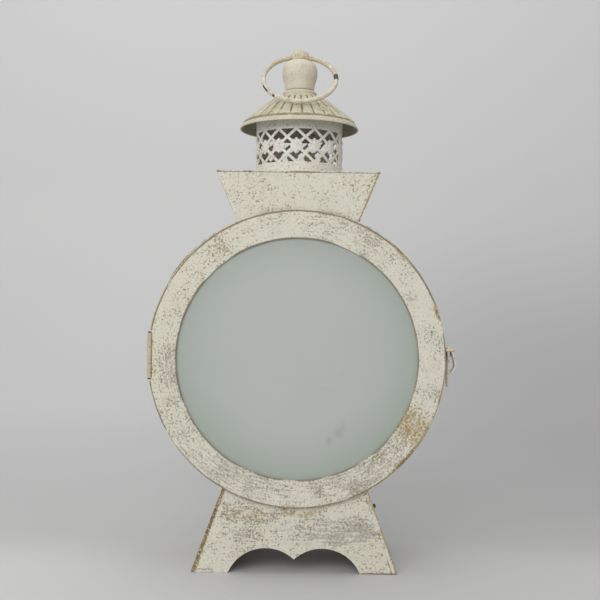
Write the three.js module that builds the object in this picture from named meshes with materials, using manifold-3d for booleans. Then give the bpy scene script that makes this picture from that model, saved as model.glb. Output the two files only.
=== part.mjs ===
// A clock-shaped candle lantern of painted sheet iron. A round drum with a glazed door stands on a
// splayed foot with two arches. Above it are a flared neck, a pierced chimney, a fluted roof and a
// knob whose eye holds the carry ring.
// Millimetres, +Z up. The door faces -Y, hangs on its left side and is latched on its right.

import * as THREE from "three";
import { mergeVertices } from "three/addons/utils/BufferGeometryUtils.js";
import Module from "manifold-3d";

const wasm = await Module();
wasm.setup();

// ---------------------------------------------------------------- driving dimensions

const HEIGHT = 400; // floor to the top of the eye
const SHEET = 1; // sheet iron of the drum, neck, foot, chimney and roof
const PLATE = 1.3; // thicker sheet of the frame rings and the door ring
const GAP = 0.3; // left between pieces that are soldered or that rest on each other
const DRUM_SEGMENTS = 72;
const SMALL_SEGMENTS = 16;

const drum = {
  axisZ: 160.2,
  radius: 104,
  halfLength: 46.6,
  ventHalfX: 34,
  ventHalfY: 30,
};
const ring = { outer: 110, frameInner: 99, opening: 89 };
const door = {
  x: 0.5, // the door has sagged a little on its hinge
  z: 158.7,
  radius: 109.7,
  front: -50,
  glassRadius: 94,
  glass: 2.1,
};
const rearGlass = { radius: 94, front: 44.4, rear: 46.6 };
const clip = { width: 8, sheet: 0.8, count: 4 };
const body = { halfDepth: 46.4 }; // front and rear faces of the neck and the foot
const neck = { top: 297.8, halfTop: 60.7, slope: 0.408, vent: 30 };
const foot = { halfBottom: 76.5, slope: 0.364, flange: 8 };
const arch = { x: 20.9, z: -11.9, radius: 30.4 };
const chimney = {
  radius: 33.9,
  bottom: neck.top + GAP,
  top: 347.4,
  repeats: 15,
  phase: THREE.MathUtils.degToRad(-3.4),
  rowZ: 319.3, // middle of the pattern, through the flowers
  rowStep: 6.25,
  halfBar: 1.05,
  flower: { halfWide: 4.4, halfTall: 5.3 },
};
const roof = {
  rim: 46.8,
  rimZ: 335.9,
  topZ: 360.3,
  flutes: 30,
  groove: THREE.MathUtils.degToRad(3), // the groove next to the front
  grooveDepth: 1,
};
const stud = { radius: 2, low: 352.8, high: 374.5 };
const eye = { z: 394, halfX: 7, halfY: 5.6, hole: 2.9 };
const carryRing = { radius: 28, wire: 1.8, lean: THREE.MathUtils.degToRad(40.5) };
const hinge = {
  x: -108.2,
  y: -48.8,
  z: drum.axisZ,
  pin: 0.8,
  bore: 0.88,
  knuckle: 1.8,
  halfHeight: 16.5,
  middle: 5.7, // half the height of the door's knuckle
  leafInnerX: -103.2,
  notch: 1.8, // cut out of both rings above and below the knuckles
};
const latch = { y: -33, z: 163.2, inner: 112.6, outer: 114.8, neck: 1.6, bore: 1.7, reach: 119.6 };
const catchPin = { y: -49.3, z: 166.6, radius: 1, end: 116.5 };
const shelf = { halfX: 60, halfY: 40, top: 80, lip: 2.4 };
const cup = { radius: 38.5, height: 9.5 };
const footRivet = { y: -42, z: 49.5, radius: 1.7 };

// ---------------------------------------------------------------- finishes

const paint = { color: 0xd9d4c2, roughness: 0.75, metalness: 0.1 };
const FINISHES = {
  paint,
  glass: { color: 0xb4bdb6, roughness: 0.6, metalness: 0, transparent: true, opacity: 0.75 },
  bare: { color: 0x6e675c, roughness: 0.5, metalness: 0.8 },
};

// ---------------------------------------------------------------- shape helpers

const X = new THREE.Vector3(1, 0, 0);
const Y = new THREE.Vector3(0, 1, 0);
const Z = new THREE.Vector3(0, 0, 1);
const vectors = (points) => points.map(([a, b]) => new THREE.Vector2(a, b));
const outline = (points) => new THREE.Shape(vectors(points));

function toManifold(geometry) {
  const bare = geometry.clone();
  bare.deleteAttribute("normal");
  bare.deleteAttribute("uv");
  const merged = mergeVertices(bare, 1e-3);
  return new wasm.Manifold(
    new wasm.Mesh({
      numProp: 3,
      vertProperties: merged.attributes.position.array,
      triVerts: new Uint32Array(merged.index.array),
    }),
  );
}

function toGeometry(manifold) {
  const mesh = manifold.getMesh();
  const geometry = new THREE.BufferGeometry();
  geometry.setAttribute("position", new THREE.BufferAttribute(mesh.vertProperties, 3));
  geometry.setIndex(new THREE.BufferAttribute(mesh.triVerts, 1));
  geometry.computeVertexNormals();
  return geometry;
}

function subtract(base, ...tools) {
  return toGeometry(tools.map(toManifold).reduce((left, tool) => left.subtract(tool), toManifold(base)));
}

function unite(...pieces) {
  return toGeometry(pieces.map(toManifold).reduce((sum, piece) => sum.add(piece)));
}

function extrude(shape, depth, curveSegments = SMALL_SEGMENTS) {
  return new THREE.ExtrudeGeometry(shape, { depth, bevelEnabled: false, curveSegments });
}

// A shape drawn in X-Z, from one Y to a larger one.
function plateXZ(shape, front, rear) {
  return extrude(shape, rear - front)
    .rotateX(Math.PI / 2)
    .translate(0, rear, 0);
}

// A shape drawn in Y-Z, from one X to a larger one.
function plateYZ(shape, low, high) {
  return extrude(shape, high - low)
    .applyMatrix4(new THREE.Matrix4().makeBasis(Y, Z, X))
    .translate(low, 0, 0);
}

// A shape drawn in X-Y, from one Z to a larger one.
function plateXY(shape, low, high) {
  return extrude(shape, high - low).translate(0, 0, low);
}

function block([x0, y0, z0], [x1, y1, z1]) {
  return new THREE.BoxGeometry(x1 - x0, y1 - y0, z1 - z0).translate(
    (x0 + x1) / 2,
    (y0 + y1) / 2,
    (z0 + z1) / 2,
  );
}

// Profiles are [radius, place along the axis], anticlockwise, closed or from axis to axis.
function turnedY(profile, segments = DRUM_SEGMENTS) {
  return new THREE.LatheGeometry(vectors(profile), segments);
}

function turnedZ(profile, segments = SMALL_SEGMENTS, phase = 0) {
  return new THREE.LatheGeometry(vectors(profile), segments, phase).rotateX(Math.PI / 2);
}

function turnedX(profile, segments = SMALL_SEGMENTS) {
  return new THREE.LatheGeometry(vectors(profile), segments).rotateZ(-Math.PI / 2);
}

function band(inner, outer, low, high) {
  return [
    [inner, low],
    [outer, low],
    [outer, high],
    [inner, high],
    [inner, low],
  ];
}

function pillar(radius, low, high) {
  return [
    [0, low],
    [radius, low],
    [radius, high],
    [0, high],
  ];
}

const lantern = new THREE.Group();

function add(parent, name, geometry, finish = "paint") {
  const mesh = new THREE.Mesh(geometry, new THREE.MeshStandardMaterial(FINISHES[finish]));
  mesh.name = name;
  parent.add(mesh);
}

// ---------------------------------------------------------------- drum

// The barrel's axis is the drum's axis, so it and its rings are turned about Y and then raised.
function barrel() {
  const shell = turnedY(band(drum.radius - SHEET, drum.radius, -drum.halfLength, drum.halfLength));
  const vent = block(
    [-drum.ventHalfX, -drum.ventHalfY, drum.radius / 2],
    [drum.ventHalfX, drum.ventHalfY, drum.radius * 1.5],
  );
  const pivotHole = turnedX(pillar(latch.neck + 0.5, drum.radius - 8, drum.radius + 4)).translate(
    0,
    latch.y,
    latch.z - drum.axisZ,
  );
  const rivetHoles = hingeRivets(pillar(1.5, -drum.radius - 4, -drum.radius + 8));
  return subtract(shell, vent, pivotHole, ...rivetHoles).translate(0, 0, drum.axisZ);
}

// Copies of a small turned piece at the two rivets of the hinge leaf, square to the barrel's skin.
function hingeRivets(profile) {
  const riseAngle = Math.asin(9 / drum.radius);
  return [riseAngle, -riseAngle].map((angle) =>
    turnedX(profile, 12).translate(0, -36, 0).rotateY(angle),
  );
}

function frontFrameRing() {
  const plate = turnedY(
    band(ring.frameInner, ring.outer, -drum.halfLength - GAP - PLATE, -drum.halfLength - GAP),
  ).translate(0, 0, drum.axisZ);
  const hingeNotch = block(
    [-ring.outer - 5, -60, hinge.z - hinge.halfHeight - hinge.notch],
    [hinge.leafInnerX + 0.6, -40, hinge.z + hinge.halfHeight + hinge.notch],
  );
  return subtract(plate, hingeNotch);
}

function rearFrameRing() {
  const plate = band(ring.opening, ring.outer, drum.halfLength + GAP, drum.halfLength + GAP + PLATE);
  return turnedY(plate).translate(0, 0, drum.axisZ);
}

// A bent clip drawn in [radius, Y], as wide as the strip it is cut from, at one of the corners.
function glassClip(profile, index) {
  const angle = (Math.PI * (2 * index + 1)) / clip.count;
  const across = extrude(outline(profile), clip.width).translate(0, 0, -clip.width / 2);
  return across.rotateY(angle);
}

function rearClip(index) {
  const foot = drum.halfLength;
  const lip = rearGlass.front - GAP;
  const step = rearGlass.radius + 1.2;
  return glassClip(
    [
      [102, foot],
      [step, foot],
      [step, lip],
      [91, lip],
      [91, lip - clip.sheet],
      [step + clip.sheet, lip - clip.sheet],
      [step + clip.sheet, foot - clip.sheet],
      [102, foot - clip.sheet],
    ],
    index,
  ).translate(0, 0, drum.axisZ);
}

// ---------------------------------------------------------------- neck

const neckHalfWidth = (z) => neck.halfTop + neck.slope * (z - neck.top);

// A drum-shaped tool that leaves a gap round the barrel.
function drumClearance() {
  return turnedY(pillar(drum.radius + GAP, -80, 80)).translate(0, 0, drum.axisZ);
}

function neckFace(front) {
  const top = neck.top - SHEET - GAP;
  const low = drum.axisZ + 60;
  const face = outline([
    [-neckHalfWidth(low), low],
    [neckHalfWidth(low), low],
    [neckHalfWidth(top), top],
    [-neckHalfWidth(top), top],
  ]);
  return subtract(plateXZ(face, front, front + SHEET), drumClearance());
}

function neckSide(side) {
  const top = neck.top - SHEET - GAP;
  const low = drum.axisZ + 60;
  const wall = outline([
    [side * neckHalfWidth(low), low],
    [side * neckHalfWidth(top), top],
    [side * (neckHalfWidth(top) - SHEET), top],
    [side * (neckHalfWidth(low) - SHEET), low],
  ]);
  const reach = body.halfDepth - SHEET - GAP;
  return subtract(plateXZ(wall, -reach, reach), drumClearance());
}

function neckTop() {
  const plate = outline([
    [-neck.halfTop, -body.halfDepth],
    [neck.halfTop, -body.halfDepth],
    [neck.halfTop, body.halfDepth],
    [-neck.halfTop, body.halfDepth],
  ]);
  plate.holes.push(new THREE.Path().absarc(0, 0, neck.vent, 0, 2 * Math.PI));
  return plateXY(plate, neck.top - SHEET, neck.top);
}

// ---------------------------------------------------------------- foot

const footHalfWidth = (z) => foot.halfBottom - foot.slope * z;

function footFace(front) {
  const reach = arch.x + Math.sqrt(arch.radius ** 2 - arch.z ** 2);
  const outer = Math.asin(-arch.z / arch.radius); // where an arch starts from the floor
  const cusp = Math.PI - Math.acos(arch.x / arch.radius); // where the two arches meet
  const top = drum.axisZ - 60;
  const face = new THREE.Shape();
  face.moveTo(-foot.halfBottom, 0);
  face.lineTo(-reach, 0);
  face.absarc(-arch.x, arch.z, arch.radius, Math.PI - outer, Math.PI - cusp, true);
  face.absarc(arch.x, arch.z, arch.radius, cusp, outer, true);
  face.lineTo(foot.halfBottom, 0);
  face.lineTo(footHalfWidth(top), top);
  face.lineTo(-footHalfWidth(top), top);
  return subtract(plateXZ(face, front, front + SHEET), drumClearance());
}

// A slanted side with its lower edge turned in, which is what the lantern stands on.
function footSide(side) {
  const top = drum.axisZ - 60;
  const wall = outline([
    [side * foot.halfBottom, 0],
    [side * footHalfWidth(top), top],
    [side * (footHalfWidth(top) - SHEET), top],
    [side * (footHalfWidth(SHEET) - SHEET), SHEET],
    [side * (foot.halfBottom - foot.flange), SHEET],
    [side * (foot.halfBottom - foot.flange), 0],
  ]);
  const reach = body.halfDepth - SHEET - GAP;
  const side3d = subtract(plateXZ(wall, -reach, reach), drumClearance());
  return side > 0 ? subtract(side3d, footRivetAt(pillar(footRivet.radius / 2 + 0.3, -5, 5))) : side3d;
}

// A small turned piece square to the foot's right side.
function footRivetAt(profile) {
  return turnedX(profile, 16)
    .rotateY(-Math.atan(foot.slope))
    .translate(footHalfWidth(footRivet.z), footRivet.y, footRivet.z);
}

function footRivetPiece() {
  const shank = footRivet.radius / 2;
  const tail = -SHEET - 1.2;
  return footRivetAt([
    [0, tail],
    [footRivet.radius, tail],
    [footRivet.radius, tail + 0.8],
    [shank, tail + 0.8],
    [shank, GAP],
    [footRivet.radius, GAP],
    [footRivet.radius, 1],
    [footRivet.radius * 0.7, 1.8],
    [0, 2.1],
  ]);
}

// ---------------------------------------------------------------- chimney

// Places a tool drawn on the chimney's skin (across, up) at an angle from the front.
function onChimney(shape, angle, inner, outer) {
  const across = new THREE.Vector3(Math.cos(angle), Math.sin(angle), 0);
  const outward = new THREE.Vector3(Math.sin(angle), -Math.cos(angle), 0);
  return extrude(shape, outer - inner)
    .translate(0, 0, inner)
    .applyMatrix4(new THREE.Matrix4().makeBasis(across, Z, outward));
}

function gallery() {
  const pitch = (2 * Math.PI) / chimney.repeats;
  const halfPitch = (Math.PI * chimney.radius) / chimney.repeats;
  const diagonal = Math.hypot(halfPitch, chimney.rowStep);
  const halfWide = halfPitch - (chimney.halfBar * diagonal) / chimney.rowStep;
  const halfTall = chimney.rowStep - (chimney.halfBar * diagonal) / halfPitch;
  // The hole between four bars; up and down give how far it reaches, zero at a border.
  const hole = (z, up, down) =>
    outline([
      [-halfWide, z],
      ...(down ? [[0, z - halfTall]] : []),
      [halfWide, z],
      ...(up ? [[0, z + halfTall]] : []),
    ]);
  const wall = turnedZ(
    band(chimney.radius - SHEET, chimney.radius, chimney.bottom, chimney.top),
    2 * chimney.repeats,
    chimney.phase,
  );
  const holes = [];
  const flowers = [];
  for (let i = 0; i < chimney.repeats; i++) {
    const flowerAngle = chimney.phase + i * pitch;
    const crossAngle = flowerAngle + pitch / 2;
    const { rowZ, rowStep, radius } = chimney;
    const pierce = (shape, angle) => holes.push(onChimney(shape, angle, radius - 4, radius + 4));
    pierce(hole(rowZ + rowStep, true, true), flowerAngle);
    pierce(hole(rowZ - rowStep, true, true), flowerAngle);
    pierce(hole(rowZ, true, true), crossAngle);
    pierce(hole(rowZ + 2 * rowStep, false, true), crossAngle);
    pierce(hole(rowZ - 2 * rowStep, true, false), crossAngle);
    const disc = new THREE.CylinderGeometry(1, 1, SHEET + 0.4, 12)
      .scale(chimney.flower.halfWide, 1, chimney.flower.halfTall)
      .translate(0, -radius + SHEET / 2 - 0.1, 0)
      .rotateZ(flowerAngle)
      .translate(0, 0, rowZ);
    flowers.push(disc);
  }
  return unite(subtract(wall, ...holes), ...flowers);
}

// ---------------------------------------------------------------- roof and finial

// A pressed cone: the skin dips into a groove between each flute and the next.
function roofShell() {
  const rim = roof.rimZ;
  const top = roof.topZ;
  const skin = [
    [roof.rim - SHEET, rim],
    [roof.rim, rim],
    [roof.rim - 1, rim + 2.3],
    [44.6, rim + 4.2],
    [43.4, rim + 6.2],
    [30.5, rim + 17],
    [21.2, rim + 24],
    [19.8, top],
    [stud.radius + 0.4, top],
    [stud.radius + 0.4, top - 1.2],
    [19.3, top - 1.2],
    [20.8, rim + 22.7],
    [30, rim + 15.8],
    [42, rim + 5.6],
    [43.7, rim + 3],
    [roof.rim - SHEET, rim],
  ];
  const fluted = (r) => r > 20.5 && r < 43.6;
  const shell = turnedZ(skin, 3 * roof.flutes, roof.groove);
  const place = shell.attributes.position;
  for (let i = 0; i < place.count; i++) {
    const angle = Math.atan2(place.getX(i), -place.getY(i)) - roof.groove;
    const swell = Math.abs(Math.sin((roof.flutes * angle) / 2)) ** 0.6;
    if (fluted(Math.hypot(place.getX(i), place.getY(i)))) {
      place.setZ(i, place.getZ(i) - roof.grooveDepth * (1 - swell));
    }
  }
  return shell;
}

function finialBase() {
  const z = roof.topZ + GAP;
  return turnedZ([
    [stud.radius + 0.4, z],
    [13, z],
    [13.5, z + 0.9],
    [12.9, z + 2.6],
    [13.6, z + 4.2],
    [13.2, z + 5],
    [11.6, z + 6],
    [stud.radius + 0.4, z + 6],
    [stud.radius + 0.4, z],
  ]);
}

// The knob is one casting with its eye; the stud screws into it from below.
function finialKnob() {
  const low = roof.topZ + 6.6;
  const side = new THREE.SplineCurve(
    vectors([
      [11.2, low],
      [12.7, low + 7.8],
      [14, low + 13.1],
      [12.9, low + 19.8],
      [9.9, low + 23.3],
      [6, low + 24.7],
    ]),
  ).getPoints(12);
  const ball = turnedZ([[0, low], ...side.map((p) => [p.x, p.y]), [0, low + 24.9]]);
  const lug = new THREE.SphereGeometry(1, SMALL_SEGMENTS, 14)
    .scale(eye.halfX, eye.halfY, HEIGHT - eye.z)
    .translate(0, 0, eye.z);
  const hole = turnedX(pillar(eye.hole, -20, 20)).translate(0, 0, eye.z);
  const socket = turnedZ(pillar(stud.radius + GAP, low - 1, stud.high + GAP), 16);
  return subtract(unite(ball, lug), hole, socket);
}

function finialNut() {
  const hexagon = new THREE.Shape();
  for (let i = 0; i < 6; i++) {
    const corner = [4.4 * Math.cos((i * Math.PI) / 3), 4.4 * Math.sin((i * Math.PI) / 3)];
    if (i === 0) hexagon.moveTo(...corner);
    else hexagon.lineTo(...corner);
  }
  hexagon.holes.push(new THREE.Path().absarc(0, 0, stud.radius + GAP, 0, 2 * Math.PI));
  return plateXY(hexagon, roof.topZ - 5, roof.topZ - 1.2 - GAP);
}

// Round wire bent to a ring. Its highest point lies in the eye, on the axis that it swings about.
function carryRingPiece() {
  return new THREE.TorusGeometry(carryRing.radius, carryRing.wire, 8, 40)
    .rotateX(Math.PI / 2)
    .translate(0, 0, -carryRing.radius)
    .rotateX(-carryRing.lean)
    .translate(0, 0, eye.z);
}

// ---------------------------------------------------------------- inside

// The lips turned down along the shelf's two ends stand on the barrel.
function candleShelf() {
  const section = outline([
    [-shelf.halfX, shelf.top],
    [-shelf.halfX, shelf.top - shelf.lip],
    [-shelf.halfX + SHEET, shelf.top - shelf.lip],
    [-shelf.halfX + SHEET, shelf.top - SHEET],
    [shelf.halfX - SHEET, shelf.top - SHEET],
    [shelf.halfX - SHEET, shelf.top - shelf.lip],
    [shelf.halfX, shelf.top - shelf.lip],
    [shelf.halfX, shelf.top],
  ]);
  return plateXZ(section, -shelf.halfY, shelf.halfY);
}

function candleCup() {
  const z = shelf.top + GAP;
  return turnedZ(
    [
      [0, z],
      [cup.radius, z],
      [cup.radius, z + cup.height],
      [cup.radius - SHEET, z + cup.height],
      [cup.radius - SHEET, z + SHEET],
      [0, z + SHEET],
    ],
    48,
  );
}

// ---------------------------------------------------------------- door and hinge

const doorRear = door.front + PLATE;

function doorRing() {
  const plate = turnedY(band(ring.opening, door.radius, door.front, doorRear)).translate(
    door.x,
    0,
    door.z,
  );
  const hingeNotch = block(
    [-ring.outer - 5, -60, hinge.z - hinge.halfHeight - hinge.notch],
    [hinge.x + hinge.knuckle + GAP, -40, hinge.z + hinge.halfHeight + hinge.notch],
  );
  return subtract(plate, hingeNotch);
}

function doorGlass() {
  const front = doorRear + GAP;
  return turnedY(pillar(door.glassRadius, front, front + door.glass)).translate(door.x, 0, door.z);
}

function doorClip(index) {
  const root = doorRear + GAP;
  const lip = root + door.glass + GAP;
  const leg = door.glassRadius + 0.4;
  return glassClip(
    [
      [leg, root],
      [leg + clip.sheet, root],
      [leg + clip.sheet, lip + clip.sheet],
      [leg - 3.6, lip + clip.sheet],
      [leg - 3.6, lip],
      [leg, lip],
    ],
    index,
  ).translate(door.x, 0, door.z);
}

function knuckle(low, high) {
  return turnedZ(pillar(hinge.knuckle, low, high)).translate(hinge.x, hinge.y, hinge.z);
}

const pinBore = () => turnedZ(pillar(hinge.bore, -30, 30)).translate(hinge.x, hinge.y, hinge.z);

// A curved leaf on the barrel, and two straps that carry the outer knuckles clear of the rings.
function hingeLeafFrame() {
  const inner = drum.radius + GAP;
  const outer = inner + SHEET;
  const half = Math.asin(hinge.halfHeight / outer);
  const arc = new THREE.Shape();
  arc.absarc(0, drum.axisZ, outer, Math.PI - half, Math.PI + half, false);
  arc.absarc(0, drum.axisZ, inner, Math.PI + half, Math.PI - half, true);
  const leaf = plateXZ(arc, -46, -30);
  const strap = outline([
    [-inner - 0.2, -44],
    [-inner - 0.2, -46.2],
    [-107, -47.6],
    [hinge.x - 1.4, -47.9],
    [-outer - 0.4, -44],
  ]);
  const straps = [
    [-hinge.halfHeight, -hinge.middle - GAP],
    [hinge.middle + GAP, hinge.halfHeight],
  ].flatMap(([low, high]) => [plateXY(strap, hinge.z + low, hinge.z + high), knuckle(low, high)]);
  const rivetHoles = hingeRivets(pillar(1.5, -drum.radius - 4, -drum.radius + 8)).map((tool) =>
    tool.translate(0, 0, drum.axisZ),
  );
  return subtract(unite(leaf, ...straps), pinBore(), ...rivetHoles);
}

function hingeLeafDoor() {
  const rear = doorRear + GAP + 0.8;
  const leaf = block(
    [hinge.x + hinge.knuckle + GAP, doorRear + GAP, hinge.z - hinge.halfHeight],
    [hinge.leafInnerX, rear, hinge.z + hinge.halfHeight],
  );
  const tongue = block(
    [hinge.x, doorRear + GAP, hinge.z - hinge.middle],
    [hinge.leafInnerX, rear, hinge.z + hinge.middle],
  );
  return subtract(unite(leaf, tongue, knuckle(-hinge.middle, hinge.middle)), pinBore());
}

function hingePin() {
  const end = hinge.halfHeight + GAP;
  return turnedZ([
    [0, -end - 0.8],
    [1.4, -end - 0.8],
    [1.4, -end],
    [hinge.pin, -end],
    [hinge.pin, end],
    [1.4, end],
    [1.4, end + 0.8],
    [0, end + 0.8],
  ]).translate(hinge.x, hinge.y, hinge.z);
}

// Read from outside: a flat head on the leaf, the shank, and the tail spread inside the barrel.
function hingeRivetPieces() {
  const leafFace = -drum.radius - GAP - SHEET;
  const wallInside = -drum.radius + SHEET;
  return hingeRivets([
    [0, leafFace - GAP - 0.8],
    [2.3, leafFace - GAP - 0.8],
    [2.3, leafFace - GAP],
    [1.2, leafFace - GAP],
    [1.2, wallInside + GAP],
    [2.3, wallInside + GAP],
    [2.3, wallInside + GAP + 0.8],
    [0, wallInside + GAP + 0.8],
  ]).map((rivet) => rivet.translate(0, 0, drum.axisZ));
}

function doorCatchPin() {
  const start = door.x + Math.sqrt(door.radius ** 2 - (catchPin.z - door.z) ** 2) + GAP;
  return turnedX([
    [0, start],
    [catchPin.radius, start],
    [catchPin.radius, catchPin.end - 0.6],
    [catchPin.radius - 0.5, catchPin.end],
    [0, catchPin.end],
  ]).translate(0, catchPin.y, catchPin.z);
}

// ---------------------------------------------------------------- latch

// A stepped rivet: tail inside the barrel, spacer, the hook's journal and a flat head.
function latchPivot() {
  const tail = drum.radius - SHEET - GAP;
  const shoulder = drum.radius + 0.5;
  return turnedX([
    [0, tail - 1],
    [4, tail - 1],
    [4, tail],
    [latch.neck, tail],
    [latch.neck, shoulder],
    [3.6, shoulder],
    [3.6, latch.inner - 0.2],
    [latch.neck, latch.inner - 0.2],
    [latch.neck, latch.outer + 0.2],
    [3, latch.outer + 0.2],
    [3, latch.outer + 1],
    [0, latch.outer + 1],
  ]).translate(0, latch.y, latch.z);
}

// Drawn hanging: the catch slot is open to the front, so it comes up under the door's pin.
function latchHook() {
  const slot = { top: -14.4, bottom: -17.8, depth: -2 };
  const blade = outline([
    [5, 4.8],
    [-5, 4.8],
    [-5, slot.top],
    [slot.depth, slot.top],
    [slot.depth, slot.bottom],
    [-5, slot.bottom],
    [-5, -20],
    [-2.6, -24.9],
    [2.6, -24.9],
    [5, -20],
  ]);
  blade.holes.push(new THREE.Path().absarc(0, 0, latch.bore, 0, 2 * Math.PI));
  const leg = outline([
    [latch.inner, 3.4],
    [latch.outer, 3.4],
    [latch.outer + 0.9, 3.4],
    [latch.outer + 1.4, 2.6],
    [latch.reach - 1.4, -9.4],
    [latch.reach - 1.9, -12],
    [latch.outer + 0.8, -13.6],
    [latch.outer + 1.1, -14.7],
    [latch.reach - 1, -12.6],
    [latch.reach, -9.2],
    [latch.outer + 2.7, 3.4],
    [latch.outer + 1.4, 4.8],
    [latch.inner, 4.8],
  ]);
  return unite(plateYZ(blade, latch.inner, latch.outer), plateXZ(leg, -4, 4)).translate(
    0,
    latch.y,
    latch.z,
  );
}

// ---------------------------------------------------------------- assembly

add(lantern, "barrel", barrel());
add(lantern, "front_frame_ring", frontFrameRing());
add(lantern, "rear_frame_ring", rearFrameRing());
const rearPane = turnedY(pillar(rearGlass.radius, rearGlass.front, rearGlass.rear));
add(lantern, "rear_glass", rearPane.translate(0, 0, drum.axisZ), "glass");
for (let i = 0; i < clip.count; i++) add(lantern, `rear_glass_clip_${i + 1}`, rearClip(i), "bare");

add(lantern, "neck_front", neckFace(-body.halfDepth));
add(lantern, "neck_rear", neckFace(body.halfDepth - SHEET));
add(lantern, "neck_side_left", neckSide(-1));
add(lantern, "neck_side_right", neckSide(1));
add(lantern, "neck_top", neckTop());

add(lantern, "foot_front", footFace(-body.halfDepth));
add(lantern, "foot_rear", footFace(body.halfDepth - SHEET));
add(lantern, "foot_side_left", footSide(-1));
add(lantern, "foot_side_right", footSide(1));
add(lantern, "foot_rivet", footRivetPiece(), "bare");

add(lantern, "gallery", gallery());
add(lantern, "roof", roofShell());
add(lantern, "finial_base", finialBase());
add(lantern, "finial_knob", finialKnob());
add(lantern, "finial_stud", turnedZ(pillar(stud.radius, stud.low, stud.high), 16), "bare");
add(lantern, "finial_nut", finialNut(), "bare");

add(lantern, "candle_shelf", candleShelf());
add(lantern, "candle_cup", candleCup());

add(lantern, "hinge_leaf_frame", hingeLeafFrame());
add(lantern, "hinge_pin", hingePin(), "bare");
hingeRivetPieces().forEach((rivet, i) => {
  add(lantern, i === 0 ? "hinge_rivet_upper" : "hinge_rivet_lower", rivet, "bare");
});
add(lantern, "latch_pivot", latchPivot(), "bare");

const doorGroup = new THREE.Group();
add(doorGroup, "door_ring", doorRing());
add(doorGroup, "door_glass", doorGlass(), "glass");
for (let i = 0; i < clip.count; i++) add(doorGroup, `door_glass_clip_${i + 1}`, doorClip(i), "bare");
add(doorGroup, "hinge_leaf_door", hingeLeafDoor());
add(doorGroup, "door_catch_pin", doorCatchPin());
lantern.add(doorGroup);

add(lantern, "latch_hook", latchHook());
add(lantern, "carry_ring", carryRingPiece());

// The latch stands out past the drum, so the origin is under the middle of the overall width.
lantern.position.x = -(latch.reach - ring.outer) / 2;

export default lantern;
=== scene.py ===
"""The looks of a clock-shaped candle lantern: distressed cream paint on sheet iron, frosted panes.

Shapes are worked out in millimetres from the drum's axis plane and placed in metres in the part's frame.
"""

import functools
import math

import bmesh
import bpy
import numpy as np
from mathutils import Matrix, Vector, noise


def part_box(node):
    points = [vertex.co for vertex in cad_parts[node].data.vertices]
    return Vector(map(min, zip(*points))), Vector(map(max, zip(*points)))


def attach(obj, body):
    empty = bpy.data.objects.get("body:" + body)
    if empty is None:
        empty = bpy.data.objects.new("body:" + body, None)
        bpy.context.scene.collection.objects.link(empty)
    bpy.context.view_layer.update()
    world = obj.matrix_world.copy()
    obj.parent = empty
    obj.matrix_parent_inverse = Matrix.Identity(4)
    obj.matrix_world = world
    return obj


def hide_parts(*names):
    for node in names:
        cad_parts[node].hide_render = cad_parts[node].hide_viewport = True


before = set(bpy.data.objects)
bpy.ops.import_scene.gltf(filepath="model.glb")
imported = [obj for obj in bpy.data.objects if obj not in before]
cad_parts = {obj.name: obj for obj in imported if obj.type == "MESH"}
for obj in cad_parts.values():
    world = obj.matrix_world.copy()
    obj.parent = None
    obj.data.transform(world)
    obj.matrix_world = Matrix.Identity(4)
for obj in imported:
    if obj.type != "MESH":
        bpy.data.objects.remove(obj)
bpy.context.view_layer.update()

MM = 0.001
SHEET = 1.0
GAP = 0.3


def corners(node):
    """A CAD node's lowest and highest corners in millimetres from the drum's axis plane."""
    low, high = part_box(node)
    return (np.array(low) - SHIFT) / MM, (np.array(high) - SHIFT) / MM


barrel_low, barrel_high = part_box("barrel")
SHIFT = np.array([(barrel_low.x + barrel_high.x) / 2, 0, 0])

# ---------------------------------------------------------------- sizes taken from the frame

low, high = corners("barrel")
DRUM_RADIUS = (high[0] - low[0]) / 2
DRUM_HALF = high[1]
DRUM_Z = (high[2] + low[2]) / 2
VENT_HALF_X = 34
VENT_HALF_Y = 30

low, high = corners("front_frame_ring")
FRAME_RADIUS = (high[2] - low[2]) / 2
FRAME_FRONT = low[1]
FRAME_REAR = high[1]
FRAME_INNER = 99
RING_OPENING = 89

low, high = corners("door_ring")
DOOR_RADIUS = (high[2] - low[2]) / 2
DOOR_X = high[0] - DOOR_RADIUS
DOOR_Z = (high[2] + low[2]) / 2
DOOR_FRONT = low[1]
DOOR_REAR = high[1]

low, high = corners("neck_top")
NECK_TOP = high[2]
NECK_HALF = high[0]
BODY_HALF = high[1]
NECK_SLOPE = 0.408
NECK_VENT = 30

low, high = corners("foot_side_right")
FOOT_HALF = high[0]
FOOT_SLOPE = 0.364
FOOT_FLANGE = 8
ARCH_X = 20.9
ARCH_Z = -11.9
ARCH_RADIUS = 30.4

low, high = corners("gallery")
GALLERY_LOW = low[2]
GALLERY_TOP = high[2]
GALLERY_RADIUS = 33.9
GALLERY_REPEATS = 15
GALLERY_PHASE = math.radians(-3.4)
FLOWER_Z = 319.3
FLOWER_STEP = 6.25
HALF_BAR = 1.05
FLOWER_HALF_WIDE = 5.2
FLOWER_HALF_TALL = 5.6
HALF_PITCH = math.pi * GALLERY_RADIUS / GALLERY_REPEATS
SEAM_PLACE = (math.radians(73) - GALLERY_PHASE) * GALLERY_RADIUS
SEAM_HALF = 4.8

low, high = corners("roof")
ROOF_RADIUS = high[0]
ROOF_LOW = low[2]
ROOF_TOP = high[2]
FLUTES = 30
FLUTE_PHASE = math.radians(3)

low, high = corners("finial_base")
FINIAL_LOW = low[2]
low, high = corners("finial_knob")
KNOB_LOW = low[2]
KNOB_RADIUS = high[0]
HEIGHT = high[2]
EYE_HALF = np.array([7.0, 5.6, 6.0])
EYE_Z = HEIGHT - EYE_HALF[2]
EYE_HOLE = 2.9

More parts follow.
